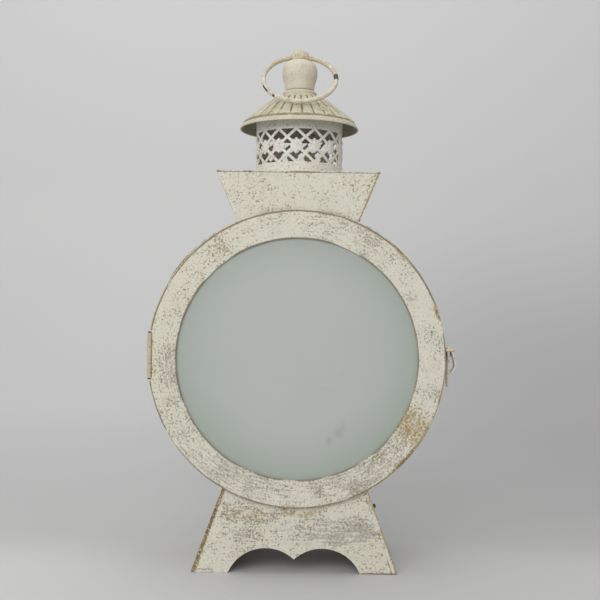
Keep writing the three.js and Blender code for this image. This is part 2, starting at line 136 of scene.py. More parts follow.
low, high = corners("carry_ring")
WIRE = 1.8
CARRY_RADIUS = (high[0] - low[0]) / 2 - WIRE
CARRY_LEAN = math.radians(40.5)

low, high = corners("latch_hook")
LATCH_INNER = low[0]
LATCH_REACH = high[0]
LATCH_OUTER = LATCH_INNER + 2.2
LATCH_Y = (low[1] + high[1]) / 2
LATCH_Z = high[2] - 4.8
LATCH_BORE = 1.7

HINGE_X = -108.2
HINGE_KNUCKLE = 1.8
HINGE_LEAF_INNER = -103.2
HINGE_NOTCH_HALF = 18.3

low, high = corners("candle_cup")
CUP_LOW = low[2]
CUP_TOP = high[2]
CUP_RADIUS = (high[0] - low[0]) / 2


# ---------------------------------------------------------------- shape helpers


def fade(distance, width):
    """One at an edge, falling to nothing at this distance from it."""
    return np.clip(1 - np.asarray(distance) / width, 0, 1)


def bell(value, centre, width):
    """One at the centre, falling away smoothly on both sides."""
    return np.exp(-(((np.asarray(value) - centre) / width) ** 2))


def bell_round(angle, centre, width):
    """A bell on an angle in degrees, which closes at 360."""
    away = (np.asarray(angle) - centre + 180) % 360 - 180
    return np.exp(-((away / width) ** 2))


def strongest(*layers):
    """The largest of several strengths at each point."""
    return functools.reduce(np.maximum, layers)


def waver(points, size, seed):
    """Slow unevenness between -1 and 1 over waves of this size in millimetres."""
    offset = Vector((seed * 7.31, seed * 3.17, seed * 5.93))
    return np.array([noise.noise(Vector(p) / size + offset) for p in points])


def rounded(outline, radius, steps=3, closed=True):
    """The outline with each of its corners turned into a short curve."""
    points = [np.array(p, float) for p in outline]
    made = []
    count = len(points)
    for i, corner in enumerate(points):
        if not closed and i in (0, count - 1):
            made.append(corner)
            continue
        before = points[i - 1] - corner
        after = points[(i + 1) % count] - corner
        reach = min(radius, np.linalg.norm(before) / 2.2, np.linalg.norm(after) / 2.2)
        start = corner + before / np.linalg.norm(before) * reach
        end = corner + after / np.linalg.norm(after) * reach
        for t in np.linspace(0, 1, steps + 1):
            made.append((1 - t) ** 2 * start + 2 * t * (1 - t) * corner + t**2 * end)
    return made


def filled(outline, step, closed=True):
    """The outline with points added so that none are further apart than step."""
    points = list(outline)
    pairs = list(zip(points, points[1:] + points[:1])) if closed else list(zip(points, points[1:]))
    made = []
    for a, b in pairs:
        pieces = max(1, math.ceil(np.linalg.norm(np.subtract(b, a)) / step))
        made.extend(np.add(a, np.subtract(b, a) * k / pieces) for k in range(pieces))
    if not closed:
        made.append(np.array(points[-1], float))
    return np.array(made)


def grid_faces(rows, columns, wrap_rows=False, wrap_columns=False):
    """Four-sided faces between the neighbours of a grid of points, numbered row by row."""
    faces = []
    for i in range(rows if wrap_rows else rows - 1):
        for j in range(columns if wrap_columns else columns - 1):
            up = (i + 1) % rows
            across = (j + 1) % columns
            faces.append((i * columns + j, i * columns + across, up * columns + across, up * columns + j))
    return faces


def thickened(outer, inner, faces):
    """A closed sheet from two copies of one surface, joined round its open edges."""
    count = len(outer)
    backs = [tuple(i + count for i in reversed(face)) for face in faces]
    edges = {(a, b) for face in faces for a, b in zip(face, face[1:] + face[:1])}
    rims = [(b, a, a + count, b + count) for a, b in edges if (b, a) not in edges]
    return np.vstack([outer, inner]), faces + backs + rims


def turned(section, segments, axis, centre=(0, 0, 0), open_ended=False):
    """A section of [radius, place along the axis] turned about X, Y or Z."""
    angles = np.linspace(0, 2 * math.pi, segments, endpoint=False)
    radius = section[:, 0][None, :]
    along = np.broadcast_to(section[:, 1][None, :], (segments, len(section)))
    side = np.sin(angles)[:, None] * radius
    up = np.cos(angles)[:, None] * radius
    columns = {"x": (along, side, up), "y": (side, along, up), "z": (side, -up, along)}[axis]
    points = np.stack(columns, axis=-1).reshape(-1, 3) + np.array(centre)
    return points, grid_faces(segments, len(section), wrap_rows=True, wrap_columns=not open_ended)


def new_mesh(name, points, faces):
    """A closed mesh object in metres, with its faces turned outwards."""
    mesh = bpy.data.meshes.new(name)
    mesh.from_pydata((np.asarray(points) * MM + SHIFT).tolist(), [], [tuple(map(int, f)) for f in faces])
    shape = bmesh.new()
    shape.from_mesh(mesh)
    bmesh.ops.remove_doubles(shape, verts=shape.verts, dist=0.002 * MM)
    bmesh.ops.recalc_face_normals(shape, faces=shape.faces)
    shape.to_mesh(mesh)
    shape.free()
    piece = bpy.data.objects.new(name, mesh)
    bpy.context.scene.collection.objects.link(piece)
    return piece


def apply_modifiers(piece):
    depsgraph = bpy.context.evaluated_depsgraph_get()
    mesh = bpy.data.meshes.new_from_object(piece.evaluated_get(depsgraph))
    piece.modifiers.clear()
    piece.data = mesh


def edge_bevel(piece, width, angle):
    """Rounds a piece's sharp edges by this many millimetres."""
    bevel = piece.modifiers.new("edges", "BEVEL")
    bevel.width = width * MM
    bevel.segments = 2
    bevel.limit_method = "ANGLE"
    bevel.angle_limit = math.radians(angle)


def bevelled(piece, width):
    edge_bevel(piece, width, 35)
    apply_modifiers(piece)
    return piece


def local_points(piece):
    """The piece's vertices in millimetres from the drum's axis plane."""
    count = len(piece.data.vertices)
    places = np.empty(count * 3)
    piece.data.vertices.foreach_get("co", places)
    return (places.reshape(count, 3) - SHIFT) / MM


def mark(piece, wear=0, stain=0, grey=0, line=0):
    """Where the coat is rubbed through, speckled with ochre, thin and grey, or lined with brown; some lines
    are painted shadow along gaps and seams.
    """
    count = len(piece.data.vertices)
    layer = piece.data.color_attributes.new("marks", "FLOAT_COLOR", "POINT")
    values = np.zeros((count, 4), np.float32)
    values[:, 0] = np.clip(wear, 0, 1)
    values[:, 1] = np.clip(stain, 0, 1)
    values[:, 2] = np.clip(grey, 0, 1)
    values[:, 3] = np.clip(line, 0, 1)
    layer.data.foreach_set("color", values.ravel())


def finished(piece, body, material, slot, *nodes, smooth_angle=40):
    """Shades a piece smooth, gives it its finish, ties it to its body and hides the CAD nodes that it stands
    for.
    """
    piece.data.materials.clear()
    piece.data.materials.append(material)
    piece.data.shade_smooth()
    piece.data.set_sharp_from_angle(angle=math.radians(smooth_angle))
    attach(piece, body)
    if nodes:
        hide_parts(*nodes)
    return piece


# ---------------------------------------------------------------- material helpers


class Shading:
    """A short way to write a material's nodes."""

    def __init__(self, name):
        self.material = bpy.data.materials.new(name)
        self.material.use_nodes = True
        self.tree = self.material.node_tree
        self.shader = self.tree.nodes["Principled BSDF"]
        self.place = self.add("ShaderNodeTexCoord").outputs["Object"]

    def add(self, kind, **settings):
        node = self.tree.nodes.new(kind)
        for key, value in settings.items():
            setattr(node, key, value)
        return node

    def join(self, value, socket):
        if isinstance(value, bpy.types.NodeSocket):
            self.tree.links.new(value, socket)
        else:
            socket.default_value = value

    def stretched(self, scale, source=None):
        node = self.add("ShaderNodeMapping")
        self.join(source or self.place, node.inputs["Vector"])
        node.inputs["Scale"].default_value = scale
        return node.outputs["Vector"]

    def noise(self, scale, detail=2.0, roughness=0.5, source=None):
        node = self.add("ShaderNodeTexNoise")
        self.join(source or self.place, node.inputs["Vector"])
        node.inputs["Scale"].default_value = scale
        node.inputs["Detail"].default_value = detail
        node.inputs["Roughness"].default_value = roughness
        return node.outputs["Fac"]

    def math(self, operation, a, b=0.5):
        node = self.add("ShaderNodeMath", operation=operation)
        self.join(a, node.inputs[0])
        self.join(b, node.inputs[1])
        return node.outputs["Value"]

    def total(self, *terms):
        """The sum of (value, weight) pairs."""
        result = None
        for value, weight in terms:
            part = self.math("MULTIPLY", value, weight)
            result = part if result is None else self.math("ADD", result, part)
        return result

    def step(self, value, low, high):
        """A smooth rise from nothing at low to one at high."""
        node = self.add("ShaderNodeMapRange", interpolation_type="SMOOTHSTEP")
        self.join(value, node.inputs["Value"])
        node.inputs["From Min"].default_value = low
        node.inputs["From Max"].default_value = high
        return node.outputs["Result"]

    def scaled(self, value, low, high):
        """A noise's usual spread, 0.25 to 0.75, brought to low and high."""
        node = self.add("ShaderNodeMapRange")
        self.join(value, node.inputs["Value"])
        node.inputs["From Min"].default_value = 0.25
        node.inputs["From Max"].default_value = 0.75
        node.inputs["To Min"].default_value = low
        node.inputs["To Max"].default_value = high
        return node.outputs["Result"]

    def mix(self, share, a, b):
        node = self.add("ShaderNodeMix", data_type="RGBA")
        self.join(share, node.inputs[0])
        self.join(a if isinstance(a, bpy.types.NodeSocket) else (*a, 1), node.inputs[6])
        self.join(b if isinstance(b, bpy.types.NodeSocket) else (*b, 1), node.inputs[7])
        return node.outputs[2]

    def marks(self):
        """The four strengths that mark() has left on the mesh."""
        node = self.add("ShaderNodeAttribute", attribute_name="marks")
        split = self.add("ShaderNodeSeparateColor")
        self.join(node.outputs["Color"], split.inputs["Color"])
        return split.outputs["Red"], split.outputs["Green"], split.outputs["Blue"], node.outputs["Alpha"]

    def bump(self, height, distance):
        node = self.add("ShaderNodeBump")
        self.join(height, node.inputs["Height"])
        node.inputs["Distance"].default_value = distance
        self.join(node.outputs["Normal"], self.shader.inputs["Normal"])

    def around(self, centre_x, centre_z):
        """Places measured along and across a ring about the drum's axis: tangent, radius, depth."""
        split = self.add("ShaderNodeSeparateXYZ")
        self.join(self.place, split.inputs["Vector"])
        x = self.math("SUBTRACT", split.outputs["X"], centre_x)
        z = self.math("SUBTRACT", split.outputs["Z"], centre_z)
        angle = self.math("ARCTAN2", x, z)
        squares = self.math("ADD", self.math("MULTIPLY", x, x), self.math("MULTIPLY", z, z))
        node = self.add("ShaderNodeCombineXYZ")
        self.join(self.math("MULTIPLY", angle, FRAME_RADIUS * MM), node.inputs["X"])
        self.join(self.math("SQRT", squares), node.inputs["Y"])
        self.join(split.outputs["Y"], node.inputs["Z"])
        return node.outputs["Vector"]


CREAM = (0.745, 0.72, 0.62)
WARM_CREAM = (0.69, 0.65, 0.525)
PALE = (0.81, 0.79, 0.715)
DULL = (0.46, 0.43, 0.325)
GREY_COAT = (0.35, 0.335, 0.29)
SPECK = (0.235, 0.2, 0.13)
OCHRE = (0.45, 0.34, 0.165)
DEEP_OCHRE = (0.30, 0.21, 0.09)
BROWN = (0.17, 0.12, 0.06)
# Dark brown for paint lines, also for lines of painted shadow along gaps and seams.
OUTLINE_AND_SHADOW_LINE = (0.165, 0.13, 0.068)
OCHRE_WASH = (0.56, 0.46, 0.25)
RUBBED_HALO = (0.53, 0.44, 0.27)
IRON = ((0.17, 0.15, 0.12), (0.07, 0.06, 0.05))
CHIPPED_IRON = (0.065, 0.063, 0.04)
PANE = ((0.545, 0.575, 0.545), (0.52, 0.555, 0.528))
PANE_EDGE = (0.42, 0.468, 0.41)
PANE_SMUDGE = (0.33, 0.36, 0.335)
ROOF_COATS = ((0.63, 0.585, 0.44), (0.565, 0.51, 0.365))
GALLERY_COATS = ((0.82, 0.80, 0.73), (0.78, 0.75, 0.65))
KNOB_COATS = ((0.72, 0.68, 0.56), (0.66, 0.60, 0.47))
HINGE_COATS = ((0.66, 0.54, 0.34), (0.52, 0.42, 0.24))
WIRE_COATS = ((0.70, 0.67, 0.56), (0.62, 0.58, 0.46))
INSIDE_COATS = ((0.50, 0.49, 0.43), (0.40, 0.385, 0.32))
# The roof's underside: a wash darkened into painted shade under the brim.
EAVES_PAINTED_SHADE_COATS = ((0.235, 0.225, 0.18), (0.195, 0.185, 0.145))


def distressed_paint(name, brush, grain=None, coats=(CREAM, WARM_CREAM), specks=0.0, streaks=0.0,
                     worn=0.0, finer=1.0, lined=True):
    """Cream brushed thinly over ochre and brown: rubbed edges, specks, dry strokes along the brush."""
    s = Shading(name)
    wear, stain, grey, line = s.marks()
    if worn:
        wear = s.math("ADD", wear, worn)
    fine = s.noise(1250 * finer, 2, 0.6)
    grainy = s.noise(620 * finer, 3, 0.6)
    patch = s.noise(75, 4, 0.65)
    cloud = s.noise(16, 3, 0.5)
    source = grain(s) if grain else None
    stroke = s.noise(1, 3, 0.65, s.stretched(brush, source))

    coat = s.mix(s.scaled(s.total((cloud, 0.5), (patch, 0.5)), 0.0, 1.0), *coats)
    dabs = s.step(s.total((stroke, 0.6), (fine, 0.4)), 0.5, 0.66)
    coat = s.mix(s.math("MULTIPLY", dabs, 0.5), coat, PALE)
    mottle = s.step(s.total((fine, 0.35), (grainy, 0.45), (patch, 0.2)), 0.45, 0.64)
    coat = s.mix(s.math("MULTIPLY", mottle, 0.5), coat, DULL)

    thin = s.total((stroke, 0.5), (grainy, 0.35), (patch, 0.25), (grey, 0.14))
    thin = s.step(thin, 0.66 - streaks, 0.76 - streaks)
    coat = s.mix(s.math("MULTIPLY", thin, 0.65), coat, GREY_COAT)

    washed = s.step(s.total((stain, 0.6), (patch, 0.35), (grainy, 0.35)), 0.45, 0.95)
    coat = s.mix(s.math("MULTIPLY", washed, 0.5), coat, OCHRE_WASH)
    dots = s.total((grainy, 0.6), (fine, 0.25), (patch, 0.3), (stroke, 0.2), (stain, 0.115))
    dots = s.step(dots, 0.75 - specks, 0.82 - specks)
    dot_colour = s.mix(s.step(s.total((patch, 0.5), (stain, 0.5)), 0.3, 0.55), SPECK, DEEP_OCHRE)
    coat = s.mix(s.math("MULTIPLY", dots, 0.75), coat, dot_colour)

    if lined:
        # Brown lines: paint lines, and painted shadow along gaps and seams.
        drawn = s.step(s.total((line, 0.55), (grainy, 0.3), (patch, 0.35)), 0.64, 0.78)
        coat = s.mix(s.math("MULTIPLY", drawn, 0.8), coat, OUTLINE_AND_SHADOW_LINE)

    rubbed = s.total((wear, 0.52), (patch, 0.34), (grainy, 0.42), (fine, 0.16))
    bare = s.step(rubbed, 0.7, 0.78)
    halo = s.step(rubbed, 0.6, 0.78)
    coat = s.mix(s.math("MULTIPLY", halo, 0.45), coat, RUBBED_HALO)
    flecks = s.total((grainy, 0.6), (fine, 0.4))
    under = s.mix(s.step(s.total((flecks, 0.6), (patch, 0.4)), 0.42, 0.58), BROWN, OCHRE)
    under = s.mix(s.step(flecks, 0.55, 0.62), under, WARM_CREAM)
    s.join(s.mix(bare, coat, under), s.shader.inputs["Base Color"])

    s.join(s.scaled(fine, 0.62, 0.84), s.shader.inputs["Roughness"])
    height = s.total((bare, -0.5), (dots, -0.3), (stroke, 0.5), (fine, 0.3))
    s.bump(height, 0.12 * MM)
    return s.material


def inner_paint(name, coats):
    """The plain wash inside the drum, foot and roof: thin grey cream with brown showing through; under the
    roof its coats are much darker, as painted shade.
    """
    s = Shading(name)
    cloud = s.noise(40, 4, 0.6)
    fine = s.noise(700, 3, 0.6)
    coat = s.mix(s.scaled(cloud, 0, 1), *coats)
    worn = s.step(s.total((fine, 0.6), (cloud, 0.4)), 0.56, 0.66)
    s.join(s.mix(s.math("MULTIPLY", worn, 0.5), coat, BROWN), s.shader.inputs["Base Color"])
    s.join(s.scaled(fine, 0.6, 0.85), s.shader.inputs["Roughness"])
    s.bump(s.total((fine, 0.5), (cloud, 0.5)), 0.1 * MM)
    return s.material


def chipped_wire_paint():
    """Cream on dark iron wire, gone where it is chipped."""
    s = Shading("chipped_wire_paint")
    wear, stain, _, _ = s.marks()
    fine = s.noise(1200, 3, 0.6)
    patch = s.noise(220, 3, 0.6)
    coat = s.mix(s.scaled(patch, 0, 1), *WIRE_COATS)
    dots = s.step(s.total((fine, 0.6), (patch, 0.5), (stain, 0.15)), 0.58, 0.7)
    coat = s.mix(s.math("MULTIPLY", dots, 0.7), coat, OCHRE)
    bare = s.step(s.total((wear, 0.7), (patch, 0.35), (fine, 0.2)), 0.68, 0.74)
    s.join(s.mix(bare, coat, CHIPPED_IRON), s.shader.inputs["Base Color"])
    s.join(s.scaled(fine, 0.55, 0.75), s.shader.inputs["Roughness"])
    s.bump(s.total((bare, -0.6), (fine, 0.3)), 0.15 * MM)
    return s.material


def worn_steel():
    """Darkened iron of rivets, pins and clips with traces of paint."""
    s = Shading("worn_steel")
    cloud = s.noise(260, 4, 0.6)
    fine = s.noise(1500, 2, 0.6)
    metal = s.mix(s.scaled(cloud, 0, 1), *IRON)
    traces = s.step(s.total((cloud, 0.7), (fine, 0.3)), 0.56, 0.62)
    s.join(s.mix(s.math("MULTIPLY", traces, 0.7), metal, WARM_CREAM), s.shader.inputs["Base Color"])
    s.join(s.scaled(fine, 0.35, 0.6), s.shader.inputs["Roughness"])
    s.shader.inputs["Metallic"].default_value = 0.7
    s.bump(s.total((fine, 0.4), (traces, 0.6)), 0.08 * MM)
    return s.material


def frosted_glass():
    """A pane ground on one side: even grey green, deeper near its edge, with a few finger marks."""
    s = Shading("frosted_glass")
    _, smudge, edge, _ = s.marks()
    cloud = s.noise(12, 2, 0.5)
    fine = s.noise(2600, 2, 0.5)
    pane = s.mix(s.scaled(cloud, 0, 1), *PANE)
    pane = s.mix(edge, pane, PANE_EDGE)
    pane = s.mix(s.math("MULTIPLY", smudge, 0.6), pane, PANE_SMUDGE)
    s.join(pane, s.shader.inputs["Base Color"])
    s.join(s.scaled(fine, 0.5, 0.62), s.shader.inputs["Roughness"])
    s.shader.inputs["IOR"].default_value = 1.5
    s.shader.inputs["Transmission Weight"].default_value = 0.12
    s.shader.inputs["Specular IOR Level"].default_value = 0.35
    s.bump(fine, 0.02 * MM)
    return s.material


def drum_grain(shading):
    """Brush strokes that follow the drum round."""
    return shading.around(float(SHIFT[0]), DRUM_Z * MM)


ring_paint = distressed_paint("ring_paint", (90, 800, 300), drum_grain, specks=0.025, streaks=0.045)
foot_paint = distressed_paint("foot_paint", (60, 500, 620), specks=0.02, streaks=0.05)
neck_paint = distressed_paint("neck_paint", (330, 500, 520), specks=0.015)
barrel_paint = distressed_paint("barrel_paint", (80, 900, 300), drum_grain, specks=0.02)
hinge_paint = distressed_paint(
    "hinge_paint", (900, 900, 90), None, HINGE_COATS, specks=0.02, streaks=0.02, worn=0.14, lined=False
)
roof_paint = distressed_paint("roof_paint", (420, 420, 300), None, ROOF_COATS, finer=1.1)
gallery_paint = distressed_paint("gallery_paint", (420, 420, 300), None, GALLERY_COATS, finer=1.1)
knob_paint = distressed_paint(
    "knob_paint", (900, 900, 70), None, KNOB_COATS, specks=-0.03, streaks=0.01, finer=1.1
)
wire_paint = chipped_wire_paint()
inside = inner_paint("inner_paint", INSIDE_COATS)
underside_shade_paint = inner_paint("eaves_painted_shade", EAVES_PAINTED_SHADE_COATS)
steel = worn_steel()
glass = frosted_glass()


# ---------------------------------------------------------------- drum


def polar(points, centre_x, centre_z):
    """Angle in degrees from the top, clockwise seen from the front, and distance from the axis."""
    x = points[:, 0] - centre_x
    z = points[:, 2] - centre_z
    return np.degrees(np.arctan2(x, z)), np.hypot(x, z)


def ring_plate(name, inner, outer, front, rear, centre, notch_x, seed):
    """A flat ring with rolled edges and a step cut out of it for the hinge."""
    edge_steps = np.array([0, 0.6, 1.2, 1.8, 2.4, 3.6])
    across = [*(inner + edge_steps), *(outer - edge_steps[::-1])]
    outline = [(r, front) for r in across] + [(outer, rear), (inner, rear)]
    section = filled(rounded(outline, 0.5), 1.2)
    points, faces = turned(section, 432, "y", centre)
    _, distance = polar(points, centre[0], centre[2])
    at_front = front < 0
    facing = fade(points[:, 1] - front if at_front else rear - points[:, 1], 0.6)
    uneven = waver(points * [1, 0.1, 1], 26, seed) * (1 if at_front else -1)
    points[:, 1] += 0.14 * uneven * facing * (distance > inner + 1)
    edge = 1 + 0.0012 * waver(points, 5, seed + 10) * (distance > outer - 1)
    for axis in (0, 2):
        points[:, axis] = centre[axis] + (points[:, axis] - centre[axis]) * edge
    if notch_x is not None:
        near = np.abs(points[:, 2] - DRUM_Z) < HINGE_NOTCH_HALF
        left = points[:, 0] < notch_x
        points[near & left, 0] = notch_x
    return new_mesh(name, points, faces)


def door_edge_line_and_shadow(points, width):
    """A dark line where a face meets the door ring's outline: partly a brown paint line, partly painted
    shadow of the gap beside the ring.
    """
    away = np.hypot(points[:, 0] - DOOR_X, points[:, 2] - DOOR_Z) - DOOR_RADIUS
    return fade(np.abs(away - 0.3), width)


def ring_marks(piece, inner, outer, centre):
    """More wear at the places where hands and neighbours have rubbed the rings."""
    points = local_points(piece)
    angle, distance = polar(points, centre[0], centre[2])
    rim = outer - distance
    lip = distance - inner
    spots = [(-95, 16, 2.4, 0.8), (44, 6, 2.6, 0.9), (71, 5, 6.5, 0.85), (132, 13, 5.5, 1.0)]
    spots += [(-52, 12, 1.8, 0.8), (178, 22, 1.8, 0.65), (98, 9, 1.6, 0.6), (-135, 16, 1.6, 0.6)]
    rim_wear = [strength * bell_round(angle, place, half) * fade(rim - 0.4, width)
                for place, half, width, strength in spots]
    wear = strongest(
        *rim_wear,
        0.4 * fade(rim, 1.2),
        0.4 * fade(lip, 1.2),
        0.85 * bell_round(angle, 121, 10) * fade(lip, 3.2),
        0.7 * bell_round(angle, 78, 9) * fade(lip, 2.6),
    )
    stain = strongest(
        0.9 * bell_round(angle, 119, 8),
        0.6 * bell_round(angle, 138, 12) * fade(rim, 10),
        0.3 * bell_round(angle, -38, 14),
        0.45 * bell_round(angle, -95, 16) * fade(rim, 12),
        0.3 * bell_round(angle, 150, 26),
    )
    grey = 0.3 + 0.8 * bell_round(angle, -98, 20) * fade(lip, 16) + 0.35 * bell_round(angle, 25, 16)
    grey = grey + 0.6 * bell_round(angle, -150, 24) + 0.7 * bell_round(angle, 150, 26)
    if centre[0] == DOOR_X:
        slow = 0.95 + 0.5 * waver(points * [1, 0.1, 1], 18, 12)
        # Brown paint lines round the rim and inner lip, partly painted shadow of the gaps beside the ring.
        line = strongest(fade(rim - 0.8, 0.8), 0.9 * fade(lip - 0.7, 0.8)) * slow
    else:
        # The rim line is a brown paint line; the line along the door's edge is partly painted shadow of the
        # gap.
        line = strongest(0.9 * fade(rim, 0.5), door_edge_line_and_shadow(points, 0.6))
    mark(piece, wear, stain, grey, line)


def door_ring():
    centre = (DOOR_X, 0, DOOR_Z)
    notch = HINGE_X + HINGE_KNUCKLE + GAP
    piece = ring_plate("door_ring_plate", RING_OPENING, DOOR_RADIUS, DOOR_FRONT, DOOR_REAR, centre, notch, 1)
    ring_marks(piece, RING_OPENING, DOOR_RADIUS, centre)
    finished(piece, "door", ring_paint, "ring_paint", "door_ring")


def frame_rings():
    centre = (0, 0, DRUM_Z)
    notch = HINGE_LEAF_INNER + 0.6
    sizes = (FRAME_INNER, FRAME_RADIUS, FRAME_FRONT, FRAME_REAR)
    front = ring_plate("front_ring_plate", *sizes, centre, notch, 2)
    ring_marks(front, FRAME_INNER - 5, FRAME_RADIUS, centre)
    finished(front, "body", ring_paint, "ring_paint", "front_frame_ring")
    low, high = corners("rear_frame_ring")
    sizes = (RING_OPENING, FRAME_RADIUS, low[1], high[1])
    rear = ring_plate("rear_ring_plate", *sizes, centre, None, 6)
    ring_marks(rear, RING_OPENING, FRAME_RADIUS, centre)
    finished(rear, "body", ring_paint, "ring_paint", "rear_frame_ring")


def barrel():
    """The rolled wall of the drum, with its vent at the top and a lapped seam at the bottom."""
    angles = np.radians(np.linspace(-180, 180, 289)[:-1])
    edge = math.asin(VENT_HALF_X / DRUM_RADIUS)
    angles[np.argmin(np.abs(angles - edge))] = edge
    angles[np.argmin(np.abs(angles + edge))] = -edge
    places = np.union1d(np.linspace(-DRUM_HALF, DRUM_HALF, 51), [-VENT_HALF_Y, VENT_HALF_Y])
    a, y = np.meshgrid(angles, places, indexing="ij")
    points = np.stack([np.sin(a), np.zeros_like(a), np.cos(a)], axis=-1).reshape(-1, 3)
    from_seam = np.abs(a + math.pi - 2 * math.pi * (a > 0))
    lap = 0.55 * np.clip((math.radians(6) - from_seam) / math.radians(1), 0, 1)
    along = np.stack([0 * y, y, 0 * y + DRUM_Z], axis=-1).reshape(-1, 3)
    outer = points * (DRUM_RADIUS - 0.15 + lap.reshape(-1, 1) * 0.5) + along
    inner = points * (DRUM_RADIUS - SHEET) + along
    faces = []
    middle_angle = 0.5 / DRUM_RADIUS
    for face in grid_faces(len(angles), len(places), wrap_rows=True):
        centre_a = np.mean([abs(a.reshape(-1)[i]) for i in face])
        centre_y = np.mean([abs(y.reshape(-1)[i]) for i in face])
        if centre_a > edge - middle_angle or centre_y > VENT_HALF_Y:
            faces.append(face)
    piece = bevelled(new_mesh("barrel_wall", *thickened(outer, inner, faces)), 0.25)
    points = local_points(piece)
    angle, _ = polar(points, 0, DRUM_Z)
    wear = strongest(0.5 * fade(DRUM_HALF - np.abs(points[:, 1]), 2.5), 0.7 * bell_round(angle, 180, 5))
    mark(piece, wear, 0.25 * bell_round(angle, 100, 30), 0.3)
    finished(piece, "body", barrel_paint, "body_paint", "barrel")


# Finger marks on the door's pane: place to the right of and above its middle, half sizes, strength.
FINGER_MARKS = [
    (24.4, -60.4, 2.0, 2.8, 1.0),
    (31.2, -54.2, 2.6, 3.0, 1.0),
    (34.5, -49, 1.5, 3.4, 0.6),
    (22, -22, 9, 1.3, 0.2),
    (34, -12, 1.5, 8, 0.16),
    (8, -30, 12, 10, 0.08),
    (40, -2, 9, 1.2, 0.12),
]


def pane(name, node, body, finger_marks=()):
    """A round frosted pane with its edges broken, deeper in tone towards its rim."""
    low, high = corners(node)
    radius = (high[2] - low[2]) / 2
    centre = ((high[0] + low[0]) / 2, 0, (high[2] + low[2]) / 2)
    outline = [(0, low[1]), (radius, low[1]), (radius, high[1]), (0, high[1])]
    section = filled(rounded(outline, 0.4, closed=False), 3, closed=False)
    points, faces = turned(section, 240, "y", centre, open_ended=True)
    piece = new_mesh(name, points, faces)
    points = local_points(piece)
    x = points[:, 0] - centre[0]
    z = points[:, 2] - centre[2]
    rim = RING_OPENING - np.hypot(x, z)
    edge = fade(rim, 40) ** 1.6 * 0.75 + 0.25 * fade(z + 60, 120) * fade(rim, 60)
    smudge = np.zeros(len(points))
    for spot_x, spot_z, wide, tall, strength in finger_marks:
        smudge += strength * bell(x, spot_x, wide) * bell(z, spot_z, tall)
    mark(piece, 0, smudge, edge)
    finished(piece, body, glass, "frosted_glass", node)


# ---------------------------------------------------------------- neck and foot


def drum_top(x):
    return DRUM_Z + np.sqrt((DRUM_RADIUS + GAP) ** 2 - x**2)


def drum_bottom(x):
    return DRUM_Z - np.sqrt((DRUM_RADIUS + GAP) ** 2 - x**2)


def meeting(half_width, boundary):
    """Where a slanted side meets the drum, found by closing in on it."""
    z = boundary(0)
    for _ in range(60):
        z = boundary(half_width(z))
    return half_width(z), z


def neck_width(z):
    return NECK_HALF + NECK_SLOPE * (z - NECK_TOP)


def foot_width(z):
    return FOOT_HALF - FOOT_SLOPE * z


def ruled_plate(name, low_line, high_line, rows, front, rear, seed):
    """A flat sheet in X-Z between two lines, a little uneven as hand-bent sheet is."""
    low_line = np.array(low_line)
    high_line = np.array(high_line)
    steps = np.linspace(0, 1, rows)[:, None, None]
    flat = (low_line[None] * (1 - steps) + high_line[None] * steps).reshape(-1, 2)
    outer = np.stack([flat[:, 0], np.full(len(flat), front), flat[:, 1]], axis=-1)
    inner = np.stack([flat[:, 0], np.full(len(flat), rear), flat[:, 1]], axis=-1)
    outer[:, 1] += 0.12 * waver(outer, 24, seed) * np.sign(rear - front)
    return new_mesh(name, *thickened(outer, inner, grid_faces(rows, low_line.shape[0])))


def spread(low, high, count):
    """Places from low to high that crowd towards both ends."""
    t = np.linspace(-1, 1, count)
    eased = np.sign(t) * (1 - (1 - np.abs(t)) ** 1.6)
    return low + (high - low) * (eased + 1) / 2


def neck_plate(name, node, front, rear, seed):
    """The front or rear sheet of the neck, from the drum's curve up to the flat top."""
    top = NECK_TOP - SHEET - GAP
    corner_x, _ = meeting(neck_width, drum_top)
    share = spread(-1, 1, 101)
    low_line = [(corner_x * u, drum_top(corner_x * u)) for u in share]
    high_line = [(neck_width(top) * u, top) for u in share]
    piece = bevelled(ruled_plate(name, low_line, high_line, 64, front, rear, seed), 0.25)
    points = local_points(piece)
    x, z = points[:, 0], points[:, 2]
    right = neck_width(z) - x
    left = neck_width(z) + x
    over_ring = np.hypot(x, z - DRUM_Z) - FRAME_RADIUS
    wear = strongest(0.85 * fade(right, 3.4), 0.5 * fade(left, 1.4))
    stain = strongest(
        0.6 * fade(right, 10),
        0.35 * bell(x, -38, 14) * bell(z, 280, 9),
        0.35 * bell(x, 38, 12) * bell(z, 284, 8),
    )
    slow = 0.75 + 0.4 * waver(points, 12, 14)
    edges = strongest(1.1 * fade(left, 1.2), 0.8 * fade(right, 1.0), 0.7 * fade(NECK_TOP - SHEET - z, 1.0))
    # The line along the frame ring's edge is partly a brown paint line, partly painted shadow of the gap
    # above the ring.
    line = strongest(edges * slow, 0.8 * fade(over_ring - 0.1, 0.6))
    mark(piece, wear, stain, 0.2 + 0.3 * bell(x, 20, 30), line)
    finished(piece, "body", neck_paint, "body_paint", node)


def arch_line():
    """The foot's lower edge from left to right: a pad, two arches and a pad."""
    reach = ARCH_X + math.sqrt(ARCH_RADIUS**2 - ARCH_Z**2)
    start = math.asin(-ARCH_Z / ARCH_RADIUS)
    cusp = math.pi - math.acos(ARCH_X / ARCH_RADIUS)
    pad = [(x, 0.0) for x in reach + (FOOT_HALF - reach) * (1 - (1 - np.linspace(0, 1, 16)) ** 1.5)]
    angles = np.linspace(start, cusp, 40)
    right = [(ARCH_X + ARCH_RADIUS * math.cos(t), ARCH_Z + ARCH_RADIUS * math.sin(t)) for t in angles]
    half = right[::-1] + pad[1:]
    return [(-x, z) for x, z in half[::-1]] + half[1:]


